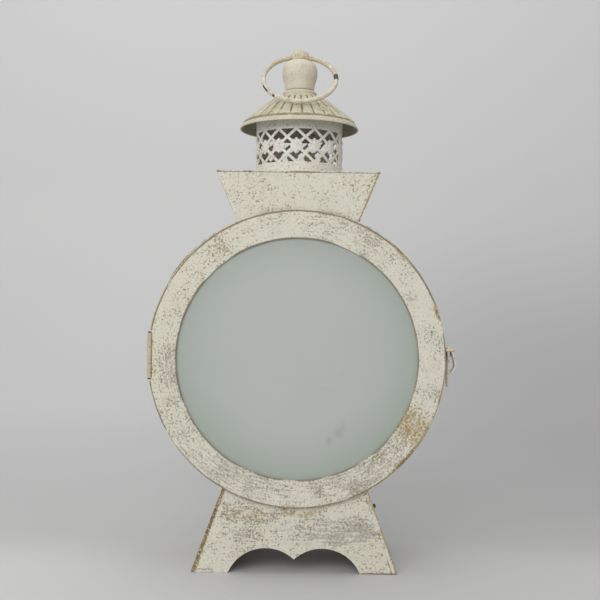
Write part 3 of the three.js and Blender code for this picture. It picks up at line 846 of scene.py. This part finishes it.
def foot_plate(name, node, front, rear, seed):
    """The front or rear sheet of the foot, with its two arches and a slightly ragged right pad."""
    low_line = arch_line()
    corner_x, _ = meeting(foot_width, drum_bottom)
    high_line = [(x * corner_x / FOOT_HALF, drum_bottom(x * corner_x / FOOT_HALF)) for x, _ in low_line]
    ragged = waver([(x, 0, seed) for x, _ in low_line], 1.3, seed)
    pads = [0.5 + 0.7 * n if x > ARCH_X + ARCH_RADIUS - 1 else 0.0 for (x, z), n in zip(low_line, ragged)]
    low_line = [(x, z + max(0.0, lift)) for (x, z), lift in zip(low_line, pads)]
    piece = bevelled(ruled_plate(name, low_line, high_line, 64, front, rear, seed), 0.25)
    foot_marks(piece)
    finished(piece, "body", foot_paint, "body_paint", node)


def stroke_mark(x, z, start, end, width):
    """How near each point is to a straight brush stroke, one on it and nothing beyond its width."""
    run = np.subtract(end, start)
    share = np.clip(((x - start[0]) * run[0] + (z - start[1]) * run[1]) / np.dot(run, run), 0, 1)
    away = np.hypot(x - start[0] - share * run[0], z - start[1] - share * run[1])
    return np.exp(-((away / width) ** 2))


def foot_marks(piece):
    """Ochre strokes under the drum, thin grey ones at the right, and worn edges."""
    points = local_points(piece)
    x, z = points[:, 0], points[:, 2]
    left = foot_width(z) + x
    right = foot_width(z) - x
    arches = np.minimum(np.hypot(x - ARCH_X, z - ARCH_Z), np.hypot(x + ARCH_X, z - ARCH_Z)) - ARCH_RADIUS
    seat_shadow = drum_bottom(np.clip(x, -90, 90)) - z
    bow = z - 43.5 - 0.012 * (x - 2) ** 2
    smear = strongest(
        0.9 * bell(bow, 0, 2.2) * (x > -8) * fade(np.maximum(x - 12, 0), 30),
        stroke_mark(x, z, (-8, 53), (-6.5, 46), 2.4),
        0.75 * stroke_mark(x, z, (14, 50), (48, 66), 2.0),
        0.6 * stroke_mark(x, z, (-4, 52), (26, 55), 1.2),
    )
    wear = strongest(
        0.95 * fade(left - 0.8, 4.6 + 0.03 * (70 - z)),
        0.7 * fade(right, 3.4),
        0.5 * fade(arches, 1.5),
        0.7 * fade(z, 2.6) * (x > 0) + 0.5 * fade(z, 1.4) * (x < 0),
        0.75 * bell(x, -47, 3) * fade(z, 6),
        0.5 * smear,
    )
    left_streak = bell(x, -36, 17) * bell(z, 44, 7) + 0.3 * bell(z, 34, 10)
    stain = strongest(0.85 * smear, 0.55 * left_streak, 0.45 * fade(left, 9))
    grey = 0.2 + 1.3 * bell(x, 38, 26) * bell(z, 30, 9) + 0.8 * left_streak
    grey = grey + 0.9 * bell(x, -41, 6) * bell(z, 28, 3)
    # The line at the plate's top under the drum is painted shadow beneath the ring, and the line along the
    # door ring is partly painted shadow of the gap; the others are brown paint lines.
    edges = strongest(
        1.2 * fade(right, 1.0),
        1.1 * bell(right, 3.6, 0.7),
        0.7 * fade(arches, 1.1),
        0.6 * fade(seat_shadow, 0.8),
        0.9 * fade(left, 0.8),
        0.7 * bell(left, 5.0, 0.6),
    )
    slow = 0.75 + 0.4 * waver(points, 12, 15)
    ragged = (0.8 + 0.8 * waver(points, 2.4, 18)) * fade(z - 0.8, 1.6) * (x > 46)
    mark(piece, wear, stain, grey, strongest(edges * slow, door_edge_line_and_shadow(points, 1.0), ragged))


def side_plate(name, node, side, profile, mid):
    """A slanted side: its section in X-Z, drawn down its outer face, run from front to rear."""
    line = filled(rounded(profile, 1.2, 4, closed=False), 2.5, closed=False)
    ahead = np.gradient(line, axis=0)
    normal = np.stack([-ahead[:, 1], ahead[:, 0]], axis=-1)
    normal /= np.linalg.norm(normal, axis=1)[:, None]
    inward = np.sign((np.array(mid) - line[len(line) // 2]) @ normal[len(line) // 2])
    inner_line = line + normal * inward * SHEET
    inner_line[:, 1] = np.maximum(inner_line[:, 1], line[:, 1].min())
    reach = BODY_HALF - SHEET - GAP
    places = spread(-reach, reach, 41)
    outer = np.array([(side * x, y, z) for y in places for x, z in line])
    inner = np.array([(side * x, y, z) for y in places for x, z in inner_line])
    piece = new_mesh(name, *thickened(outer, inner, grid_faces(len(places), len(line))))
    piece = bevelled(piece, 0.25)
    points = local_points(piece)
    edge = reach - np.abs(points[:, 1])
    wear = strongest(0.7 * fade(edge, 3), 0.6 * fade(points[:, 2], 2.5))
    mark(piece, wear, 0.3 * fade(edge, 12), 0.35)
    finished(piece, "body", foot_paint if "foot" in node else neck_paint, "body_paint", node)


def side_plates():
    foot_x, foot_z = meeting(foot_width, drum_bottom)
    foot_line = [(foot_x, foot_z), (FOOT_HALF, 0), (FOOT_HALF - FOOT_FLANGE, 0)]
    neck_x, neck_z = meeting(neck_width, drum_top)
    top = NECK_TOP - SHEET - GAP
    neck_line = [(neck_width(top), top), (neck_x, neck_z)]
    for side, word in ((-1, "left"), (1, "right")):
        side_plate(f"foot_cheek_{word}", f"foot_side_{word}", side, foot_line, (0, 20))
        side_plate(f"neck_cheek_{word}", f"neck_side_{word}", side, neck_line, (0, 280))


def neck_cover():
    """The flat top of the neck round its draught hole."""
    angles = np.linspace(0, 2 * math.pi, 160, endpoint=False)
    angles = np.union1d(angles, [math.atan2(sy * BODY_HALF, sx * NECK_HALF) % (2 * math.pi)
                                 for sx in (-1, 1) for sy in (-1, 1)])
    direction = np.stack([np.cos(angles), np.sin(angles)], axis=-1)
    reach = np.minimum(NECK_HALF / np.maximum(np.abs(direction[:, 0]), 1e-9),
                       BODY_HALF / np.maximum(np.abs(direction[:, 1]), 1e-9))
    outline = direction * reach[:, None]
    hole = direction * NECK_VENT
    steps = spread(0, 1, 16)[:, None, None]
    flat = (hole[None] * (1 - steps) + outline[None] * steps).reshape(-1, 2)
    upper = np.column_stack([flat, np.full(len(flat), NECK_TOP)])
    lower = np.column_stack([flat, np.full(len(flat), NECK_TOP - SHEET)])
    faces = grid_faces(16, len(angles), wrap_columns=True)
    piece = bevelled(new_mesh("neck_cover", *thickened(upper, lower, faces)), 0.3)
    points = local_points(piece)
    edge = np.minimum(NECK_HALF - np.abs(points[:, 0]), BODY_HALF - np.abs(points[:, 1]))
    slow = 0.7 + 0.6 * waver(points, 14, 17)
    mark(piece, 0.3 * fade(edge, 1.8), 0.3 * fade(edge, 10), 0.3, fade(edge, 1.6) * (slow - 0.15))
    finished(piece, "body", neck_paint, "body_paint", "neck_top")


# ---------------------------------------------------------------- chimney

GALLERY_COLUMNS = GALLERY_REPEATS * 32
GALLERY_ROWS = 119


def flower(u, z):
    """Distance inside a lobed medallion, its share of the way out and its polar place."""
    across = ((u + HALF_PITCH) % (2 * HALF_PITCH) - HALF_PITCH) / FLOWER_HALF_WIDE
    up = (z - FLOWER_Z) / FLOWER_HALF_TALL
    share = np.hypot(across, up)
    turn = np.arctan2(up, across)
    petal = 0.93 + 0.09 * np.cos(8 * turn)
    return (petal - share) * FLOWER_HALF_WIDE, share, turn


def pierced(u, z):
    """Above zero where the chimney's sheet is left standing, in millimetres from an edge."""
    per = HALF_PITCH * FLOWER_STEP / math.hypot(HALF_PITCH, FLOWER_STEP)
    i = u / HALF_PITCH
    j = (z - FLOWER_Z) / FLOWER_STEP
    one = np.abs((i + j + 1) % 2 - 1) * per
    other = np.abs((i - j + 1) % 2 - 1) * per
    bars = HALF_BAR - np.minimum(one, other)
    border = np.abs(z - FLOWER_Z) - 2 * FLOWER_STEP
    seam = SEAM_HALF - 1 - np.abs(u - SEAM_PLACE)
    return strongest(bars, border, flower(u, z)[0], seam)


def gallery_relief(u, z, inside_by):
    """How far the stamped sheet stands out: domed petals, soft edges and the lapped seam."""
    _, share, turn = flower(u, z)
    petals = np.where(share < 1, 0.5 * (1 - share**2) + 0.88 * np.cos(8 * turn) * share * (1 - share), 0)
    boss = 0.4 * np.exp(-((share * 4.6) ** 2))
    lap = 0.3 * (np.abs(u - SEAM_PLACE) < SEAM_HALF)
    lap = lap + 0.8 * fade(np.abs(u - SEAM_PLACE - SEAM_HALF + 0.5), 0.6)
    rolled = 0.3 * bell(z, GALLERY_TOP, 1.0) + 0.35 * bell(z, GALLERY_LOW + 0.6, 0.9)
    return petals + boss + lap + rolled - 0.22 * np.exp(-np.maximum(inside_by, 0) / 0.22)


def pierced_cells():
    """Cuts the chimney's unrolled sheet along the edges of its holes: places [u, z] and faces."""
    circumference = 2 * math.pi * GALLERY_RADIUS
    us = np.arange(GALLERY_COLUMNS) * circumference / GALLERY_COLUMNS
    zs = np.linspace(GALLERY_LOW, GALLERY_TOP, GALLERY_ROWS)
    step = us[1]
    field = pierced(us[:, None], zs[None, :])
    places = []
    index = {}

    def vertex(key, place):
        if key not in index:
            index[key] = len(places)
            places.append(place)
        return index[key]

    faces = []
    for i in range(GALLERY_COLUMNS):
        for j in range(GALLERY_ROWS - 1):
            ring = [(i, j), (i + 1, j), (i + 1, j + 1), (i, j + 1)]
            values = [field[a % GALLERY_COLUMNS, b] for a, b in ring]
            if max(values) <= 0:
                continue
            face = []
            for k in range(4):
                (a, b), here = ring[k], values[k]
                (c, d), there = ring[(k + 1) % 4], values[(k + 1) % 4]
                if here > 0:
                    face.append(vertex((a % GALLERY_COLUMNS, b), (a * step, zs[b])))
                if (here > 0) != (there > 0):
                    t = min(0.9, max(0.1, here / (here - there)))
                    place = ((a + (c - a) * t) * step, zs[b] + (zs[d] - zs[b]) * t)
                    ends = sorted([(a % GALLERY_COLUMNS, b), (c % GALLERY_COLUMNS, d)])
                    face.append(vertex(tuple(ends), place))
            faces.append(tuple(face))
    return np.array(places), faces


def gallery():
    """The pierced sheet rolled round the chimney, thickened inwards."""
    places, faces = pierced_cells()
    u, z = places[:, 0], places[:, 1]
    inside_by = pierced(u, z)
    angle = GALLERY_PHASE + u / GALLERY_RADIUS
    direction = np.stack([np.sin(angle), -np.cos(angle), np.zeros_like(angle)], axis=-1)
    height = np.stack([0 * z, 0 * z, z], axis=-1)
    outer = direction * (GALLERY_RADIUS - 0.1 + gallery_relief(u, z, inside_by))[:, None] + height
    inner = direction * (GALLERY_RADIUS - SHEET) + height
    piece = new_mesh("pierced_gallery", *thickened(outer, inner, faces))
    points = local_points(piece)
    angle = np.arctan2(points[:, 0], -points[:, 1])
    u = (angle - GALLERY_PHASE) % (2 * math.pi) * GALLERY_RADIUS
    z = points[:, 2]
    _, share, turn = flower(u, z)
    petals = np.where(share < 1, 0.45 * fade(np.abs(np.cos(4 * turn)), 0.45) * share, 0)
    wear = strongest(petals, 0.4 * fade(z - GALLERY_LOW, 1.2))
    height = np.clip((z - GALLERY_LOW) / (GALLERY_TOP - GALLERY_LOW), 0, 1)
    # Painted shadow of the lapped seam's edge, darker towards the roof.
    line = fade(np.abs(u - SEAM_PLACE - SEAM_HALF), 1.3) ** 0.4 * (0.8 + 0.5 * height)
    mark(piece, wear, 0.1, 0, line)
    finished(piece, "body", gallery_paint, "top_paint", "gallery", smooth_angle=50)


# ---------------------------------------------------------------- roof and finial


def roof():
    """A pressed cone: flutes between grooves, a step round their lower ends and a rolled brim."""
    rim = ROOF_LOW
    skin = [(ROOF_RADIUS - 1.1, rim), (ROOF_RADIUS, rim + 0.1), (ROOF_RADIUS - 0.4, rim + 1.3)]
    skin += [(ROOF_RADIUS - 1.1, rim + 2.3), (44.9, rim + 3.3), (44.3, rim + 4.3), (43.6, rim + 6.1)]
    skin += [(36, rim + 12.5), (30.5, rim + 16.9), (25, rim + 21.1), (21.2, rim + 23.9)]
    skin += [(19.8, ROOF_TOP), (2.4, ROOF_TOP), (2.4, ROOF_TOP - 1.2), (19.2, ROOF_TOP - 1.2)]
    skin += [(20.7, rim + 22.6), (30, rim + 15.7), (35.3, rim + 11.5)]
    skin += [(42.4, rim + 5.4), (43.2, rim + 3.5), (44.6, rim + 2.0)]
    section = filled(rounded(skin, 0.9, 3), 1.1)
    points, faces = turned(section, FLUTES * 16, "z")
    radius, swell = flute_swell(points)
    fluted = np.clip((radius - 19.6) / 1.6, 0, 1) * np.clip((43.9 - radius) / 1.0, 0, 1)
    points[:, 2] -= 1.15 * (1 - swell) * fluted
    piece = new_mesh("fluted_roof", points, faces)
    points = local_points(piece)
    radius, swell = flute_swell(points)
    groove = np.arcsin(np.clip(swell, 0, 1) ** 1.4) * 2 / FLUTES * radius
    upper = points[:, 2] > rim + 3
    fluted = (radius > 19.5) & (radius < 44) & upper
    slow = 0.9 + 0.5 * waver(points, 7, 16)
    step_line = bell(radius, 44.2, 0.7) * upper
    line = strongest(fluted * fade(groove - 0.45, 1.0) * slow, step_line * (0.15 + slow))
    wear = strongest(0.3 * fluted * fade(groove - 0.3, 1.4), 0.4 * bell(radius, 44.2, 0.9) * upper)
    mark(piece, wear, 0.2 * fluted + 0.1, 0.3 * fluted, line)
    finished(piece, "body", roof_paint, "top_paint", "roof", smooth_angle=60)
    shade_underside(piece)


def flute_swell(points):
    """Each point's distance from the roof's axis, and its height between a groove and a crest."""
    angle = np.arctan2(points[:, 0], -points[:, 1]) - FLUTE_PHASE
    swell = np.abs(np.sin(FLUTES * angle / 2)) ** (1 / 1.4)
    return np.hypot(points[:, 0], points[:, 1]), swell


def shade_underside(piece):
    """The roof's inner skin gets a much darker wash: painted shade under the brim."""
    piece.data.materials.append(underside_shade_paint)
    for face in piece.data.polygons:
        centre = face.center / MM
        away = math.hypot(centre.x - SHIFT[0] / MM, centre.y)
        if face.normal.z < -0.15 and away < ROOF_RADIUS - 1.3:
            face.material_index = 1


def finial_base():
    """The turned collar between the roof and the knob."""
    z = FINIAL_LOW
    outline = [(2.4, z), (13, z), (13.5, z + 0.9), (12.9, z + 2.6), (13.6, z + 4.2), (13.2, z + 5)]
    outline += [(11.6, z + 6), (2.4, z + 6)]
    points, faces = turned(filled(rounded(outline, 0.9, 4), 0.8), 128, "z")
    piece = new_mesh("finial_collar", points, faces)
    points = local_points(piece)
    groove = bell(points[:, 2], z + 2.6, 0.5)
    mark(piece, 0.3 * groove, 0.2, 0.1, strongest(0.5 * groove, 0.6 * fade(points[:, 2] - z, 0.8)))
    finished(piece, "body", knob_paint, "top_paint", "finial_base", smooth_angle=60)


def finial_knob():
    """A softly lobed ball with an eye on top, one casting."""
    low = KNOB_LOW
    side = [(0, low), (11.0, low), (11.6, low + 2.4), (12.4, low + 7), (13.6, low + 10.4)]
    side += [(KNOB_RADIUS, low + 13.4), (13.7, low + 17), (12.6, low + 20.2)]
    side += [(10.2, low + 23), (6.4, low + 24.6), (0, low + 25)]
    section = filled(rounded(side, 2.2, 4, closed=False), 0.8, closed=False)
    points, faces = turned(section, 192, "z", open_ended=True)
    angle = np.arctan2(points[:, 0], -points[:, 1])
    belly = bell(points[:, 2], low + 14, 9)
    points[:, :2] *= (1 - 0.016 * belly * np.abs(np.sin(7 * angle)) ** 8)[:, None]
    ball = new_mesh("knob_and_eye", points, faces)
    eye = eye_ring()
    join = ball.modifiers.new("join", "BOOLEAN")
    join.operation = "UNION"
    join.solver = "EXACT"
    join.object = eye
    apply_modifiers(ball)
    bpy.data.objects.remove(eye)

    points = local_points(ball)
    angle = np.arctan2(points[:, 0], -points[:, 1])
    top = np.clip((points[:, 2] - low - 20) / 5, 0, 1)
    lines = 0.62 * fade(np.abs(np.cos(7 * angle)), 0.3) * bell(points[:, 2], low + 14, 8)
    foot_line = 0.5 * fade(points[:, 2] - low, 1.2)
    mark(ball, 0.36 * top, 0.6 * top, 0.4 + 0.2 * top, strongest(lines, foot_line))
    finished(ball, "body", knob_paint, "top_paint", "finial_knob", smooth_angle=60)


def eye_ring():
    """The lump that the carry ring passes through, a little uneven as cast."""
    hole_edge = EYE_HALF[0] * math.sqrt(1 - (EYE_HOLE / EYE_HALF[2]) ** 2) * 1.1
    bulge = []
    for t in np.linspace(-1, 1, 15):
        rise = math.cos(t * math.pi / 2) ** 0.8
        bulge.append((EYE_HOLE + (EYE_HALF[2] - EYE_HOLE) * rise, hole_edge * t))
    section = filled(rounded(bulge, 0.5, 3), 0.6)
    points, faces = turned(section, 96, "x")
    points[:, 1] *= EYE_HALF[1] / EYE_HALF[2]
    points[:, 2] += EYE_Z
    points += np.array([0.5, 0.4, 0.4]) * waver(points, 2.6, 21)[:, None]
    points[:, 2] = np.minimum(points[:, 2], HEIGHT)
    return new_mesh("eye_ring", points, faces)


def carry_ring():
    """Round wire bent to a ring, butted at one place and chipped to the iron where it rubs."""
    around = 224
    across = 20
    turn = np.linspace(0, 2 * math.pi, around, endpoint=False)
    section = np.linspace(0, 2 * math.pi, across, endpoint=False)
    t, s = np.meshgrid(turn, section, indexing="ij")
    butt = 0.28 * np.exp(-(((np.degrees(t) - 233) / 0.9) ** 2))
    wire = WIRE * (1 - butt)
    radius = CARRY_RADIUS + wire * np.cos(s)
    flat = np.stack([radius * np.sin(t), wire * np.sin(s), radius * np.cos(t)], axis=-1).reshape(-1, 3)
    flat += 0.12 * np.stack([waver(flat, 9, k) for k in (31, 32, 33)], axis=-1)
    flat[:, 2] -= CARRY_RADIUS
    lean = np.array(Matrix.Rotation(-CARRY_LEAN, 3, "X"))
    points = flat @ lean.T + np.array([0, 0, EYE_Z])
    piece = new_mesh("carry_ring_wire", points, grid_faces(around, across, True, True))
    degrees = np.degrees(t).reshape(-1)
    outside = np.cos(s).reshape(-1)
    chips = [(87, 7.5, 1.3, 0), (243, 12, 1.0, 1), (117, 3, 0.9, -1), (222, 5, 0.8, 1), (64, 9, 0.8, 1)]
    chips += [(300, 7, 0.45, 0), (330, 8, 0.5, 0), (40, 8, 0.5, 0)]
    wear = 0.45 * bell_round(degrees, 0, 14)
    for place, width, strength, side in chips:
        beside = np.clip(1 + 3 * (side * outside - 0.8 * abs(side)), 0, 1)
        wear = strongest(wear, strength * bell_round(degrees, place, width) * beside)
    mark(piece, wear, 0.2 + 0.8 * bell_round(degrees, 0, 70), 0.15)
    finished(piece, "handle", wire_paint, "top_paint", "carry_ring", smooth_angle=60)


# ---------------------------------------------------------------- latch


def swept_strip(line, low_y, high_y, thickness):
    """A strip of sheet that follows a line in X-Z, as wide as the two Y places."""
    line = filled(rounded(line, 1.4, 5, closed=False), 0.6, closed=False)
    ahead = np.gradient(line, axis=0)
    normal = np.stack([-ahead[:, 1], ahead[:, 0]], axis=-1)
    normal /= np.linalg.norm(normal, axis=1)[:, None]
    places = np.linspace(low_y, high_y, 9)
    outer = np.array([(x, y, z) for y in places for x, z in line])
    inner = np.array([(x, y, z) for y in places for x, z in line + normal * thickness])
    return thickened(outer, inner, grid_faces(len(places), len(line)))


def latch_blade():
    """The hook's flat blade with its catch slot, and the bore that turns on the rivet."""
    slot_top, slot_low, slot_depth = -14.4, -17.8, -2
    outline = [(5, 4.8), (-5, 4.8), (-5, slot_top), (slot_depth, slot_top), (slot_depth, slot_low)]
    outline += [(-5, slot_low), (-5, -20), (-2.6, -24.9), (2.6, -24.9), (5, -20)]
    outline = [tuple(p) for p in rounded(outline, 0.8, 3)]
    shape = bmesh.new()
    corner = [shape.verts.new((0, y, z)) for y, z in outline]
    turn = np.linspace(0, 2 * math.pi, 33)[:-1]
    bore = [shape.verts.new((0, LATCH_BORE * math.cos(t), LATCH_BORE * math.sin(t))) for t in turn]
    rims = []
    for loop in (corner, bore):
        rims += [shape.edges.new((loop[i - 1], loop[i])) for i in range(len(loop))]
    bmesh.ops.triangle_fill(shape, use_beauty=True, edges=rims)
    shape.verts.index_update()
    points = np.array([v.co for v in shape.verts])
    faces = [tuple(v.index for v in f.verts) for f in shape.faces]
    shape.free()
    outer = points + [LATCH_OUTER, 0, 0]
    inner = points + [LATCH_INNER + 0.6, 0, 0]
    return thickened(outer, inner, faces)


def latch():
    """The hook: its blade, and the thumb leg bent over the rivet and down in front of it."""
    leg = [(LATCH_OUTER - 1.0, 4.0), (LATCH_OUTER + 0.6, 3.6), (LATCH_OUTER + 1.9, 0)]
    leg += [(LATCH_REACH - 1.0, -6.6), (LATCH_REACH - 0.9, -10), (LATCH_OUTER + 1.0, -14.1)]
    pieces = [latch_blade(), swept_strip(leg, -4, 4, 1.1)]
    points = np.vstack([p for p, _ in pieces])
    count = len(pieces[0][0])
    faces = pieces[0][1] + [tuple(i + count for i in f) for f in pieces[1][1]]
    piece = bevelled(new_mesh("latch_strip", points + [0, LATCH_Y, LATCH_Z], faces), 0.2)
    points = local_points(piece)
    edge = 4.2 - np.abs(points[:, 1] - LATCH_Y)
    mark(piece, 0.2 * fade(edge, 1.0), 0.1, 0.1, 0.5 * fade(edge, 0.8))
    finished(piece, "latch", gallery_paint, "body_paint", "latch_hook")


# ---------------------------------------------------------------- inside and small parts


def candle_cup():
    """A shallow round tray with a rolled edge."""
    section = [(0, CUP_LOW), (CUP_RADIUS, CUP_LOW), (CUP_RADIUS, CUP_TOP), (CUP_RADIUS - SHEET, CUP_TOP)]
    section += [(CUP_RADIUS - SHEET, CUP_LOW + SHEET), (0, CUP_LOW + SHEET)]
    section = filled(rounded(section, 0.6, 3, closed=False), 3, closed=False)
    points, faces = turned(section, 144, "z", open_ended=True)
    finished(new_mesh("candle_cup_bowl", points, faces), "body", inside, "inner_paint", "candle_cup")


def soften_cad_node(node, material, width):
    """Gives a small CAD piece its finish, and soft edges by modifiers."""
    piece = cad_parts[node]
    piece.data.materials.clear()
    piece.data.materials.append(material)
    weld = piece.modifiers.new("weld", "WELD")
    weld.merge_threshold = 0.005 * MM
    edge_bevel(piece, width, 40)


def small_parts():
    """Clips, pins, rivets, hinge leaves and the shelf keep their CAD shapes."""
    clips = [f"{place}_glass_clip_{i}" for place in ("rear", "door") for i in range(1, 5)]
    fasteners = ["finial_stud", "finial_nut", "hinge_pin", "hinge_rivet_upper", "hinge_rivet_lower"]
    fasteners += ["latch_pivot", "foot_rivet"]
    for node in clips + fasteners:
        soften_cad_node(node, steel, 0.15)
    for node in ("door_catch_pin", "hinge_leaf_frame", "hinge_leaf_door"):
        soften_cad_node(node, hinge_paint, 0.15)
    soften_cad_node("candle_shelf", inside, 0.3)


# ---------------------------------------------------------------- camera, stage and light


def camera():
    made = bpy.data.cameras.new("camera")
    made.lens = 54.66
    made.sensor_width = 36
    made.clip_start = 0.01
    holder = bpy.data.objects.new("camera", made)
    holder.location = (-0.0026, -0.720, 0.2023)
    holder.rotation_euler = (math.pi / 2, math.radians(-0.7), 0)
    bpy.context.scene.collection.objects.link(holder)
    bpy.context.scene.camera = holder


def sweep():
    """A seamless pale floor that curves up into the backdrop, its paper darkened low down and towards the
    lower right as painted shade and lightened again at the front as painted light.
    """
    radius = 0.45
    back = 1.1
    line = [(-2.2, 0.0), (back - radius, 0.0)]
    line += [(back - radius + radius * math.sin(t), radius - radius * math.cos(t))
             for t in np.linspace(0, math.pi / 2, 24)[1:]]
    line.append((back, 2.6))
    mesh = bpy.data.meshes.new("sweep")
    places = [(x, y, z) for y, z in line for x in (-2.4, 2.4)]
    mesh.from_pydata(places, [], grid_faces(len(line), 2))
    mesh.shade_smooth()
    piece = bpy.data.objects.new("sweep", mesh)
    bpy.context.scene.collection.objects.link(piece)
    s = Shading("sweep_paper_painted_shade")
    cloud = s.noise(2.0, 2, 0.5)
    axes = s.add("ShaderNodeSeparateXYZ")
    s.join(s.place, axes.inputs["Vector"])
    # Painted shade: the paper is darkened low down and towards the lower right, as a soft shadow; painted
    # light: it is lightened again in front of and under the lantern.
    right = s.step(axes.outputs["X"], -0.4, 0.45)
    low = s.step(axes.outputs["Z"], 0.5, 0.05)
    near = s.step(axes.outputs["Y"], 0.8, 0.1)
    front = s.step(axes.outputs["Y"], 0.07, -0.04)
    side = s.math("MULTIPLY", right, s.total((near, -0.09), (low, 0.24)))
    painted_shade_and_light = s.total((low, 0.12), (near, 0.14), (side, 1.0), (front, -0.14))
    paper = s.mix(s.scaled(cloud, 0, 1), (0.74, 0.74, 0.738), (0.72, 0.72, 0.718))
    s.join(s.mix(painted_shade_and_light, paper, (0, 0, 0)), s.shader.inputs["Base Color"])
    s.shader.inputs["Roughness"].default_value = 0.6
    mesh.materials.append(s.material)


def area_light(name, place, target, size, watts):
    made = bpy.data.lights.new(name, "AREA")
    made.shape = "RECTANGLE"
    made.size, made.size_y = size
    made.energy = watts
    holder = bpy.data.objects.new(name, made)
    holder.location = place
    aim = Vector(target) - Vector(place)
    holder.rotation_euler = aim.to_track_quat("-Z", "Y").to_euler()
    bpy.context.scene.collection.objects.link(holder)


def lights():
    area_light("key", (-0.55, -1.5, 0.95), (0, 0, 0.15), (1.6, 1.0), 15.0)
    area_light("top", (0.0, 0.2, 1.7), (0, 0.3, 0), (1.6, 1.2), 8.5)
    world = bpy.data.worlds.new("studio")
    world.use_nodes = True
    world.node_tree.nodes["Background"].inputs["Color"].default_value = (1, 1, 1, 1)
    world.node_tree.nodes["Background"].inputs["Strength"].default_value = 0.46
    bpy.context.scene.world = world
    bpy.context.scene.view_settings.view_transform = "Standard"


camera()
door_ring()
frame_rings()
barrel()
pane("door_pane", "door_glass", "door", FINGER_MARKS)
pane("rear_pane", "rear_glass", "body")
neck_plate("neck_plate_front", "neck_front", -BODY_HALF, -BODY_HALF + SHEET, 3)
neck_plate("neck_plate_rear", "neck_rear", BODY_HALF, BODY_HALF - SHEET, 7)
foot_plate("foot_plate_front", "foot_front", -BODY_HALF, -BODY_HALF + SHEET, 4)
foot_plate("foot_plate_rear", "foot_rear", BODY_HALF, BODY_HALF - SHEET, 8)
side_plates()
neck_cover()
gallery()
roof()
finial_base()
finial_knob()
carry_ring()
latch()
candle_cup()
small_parts()
sweep()
lights()
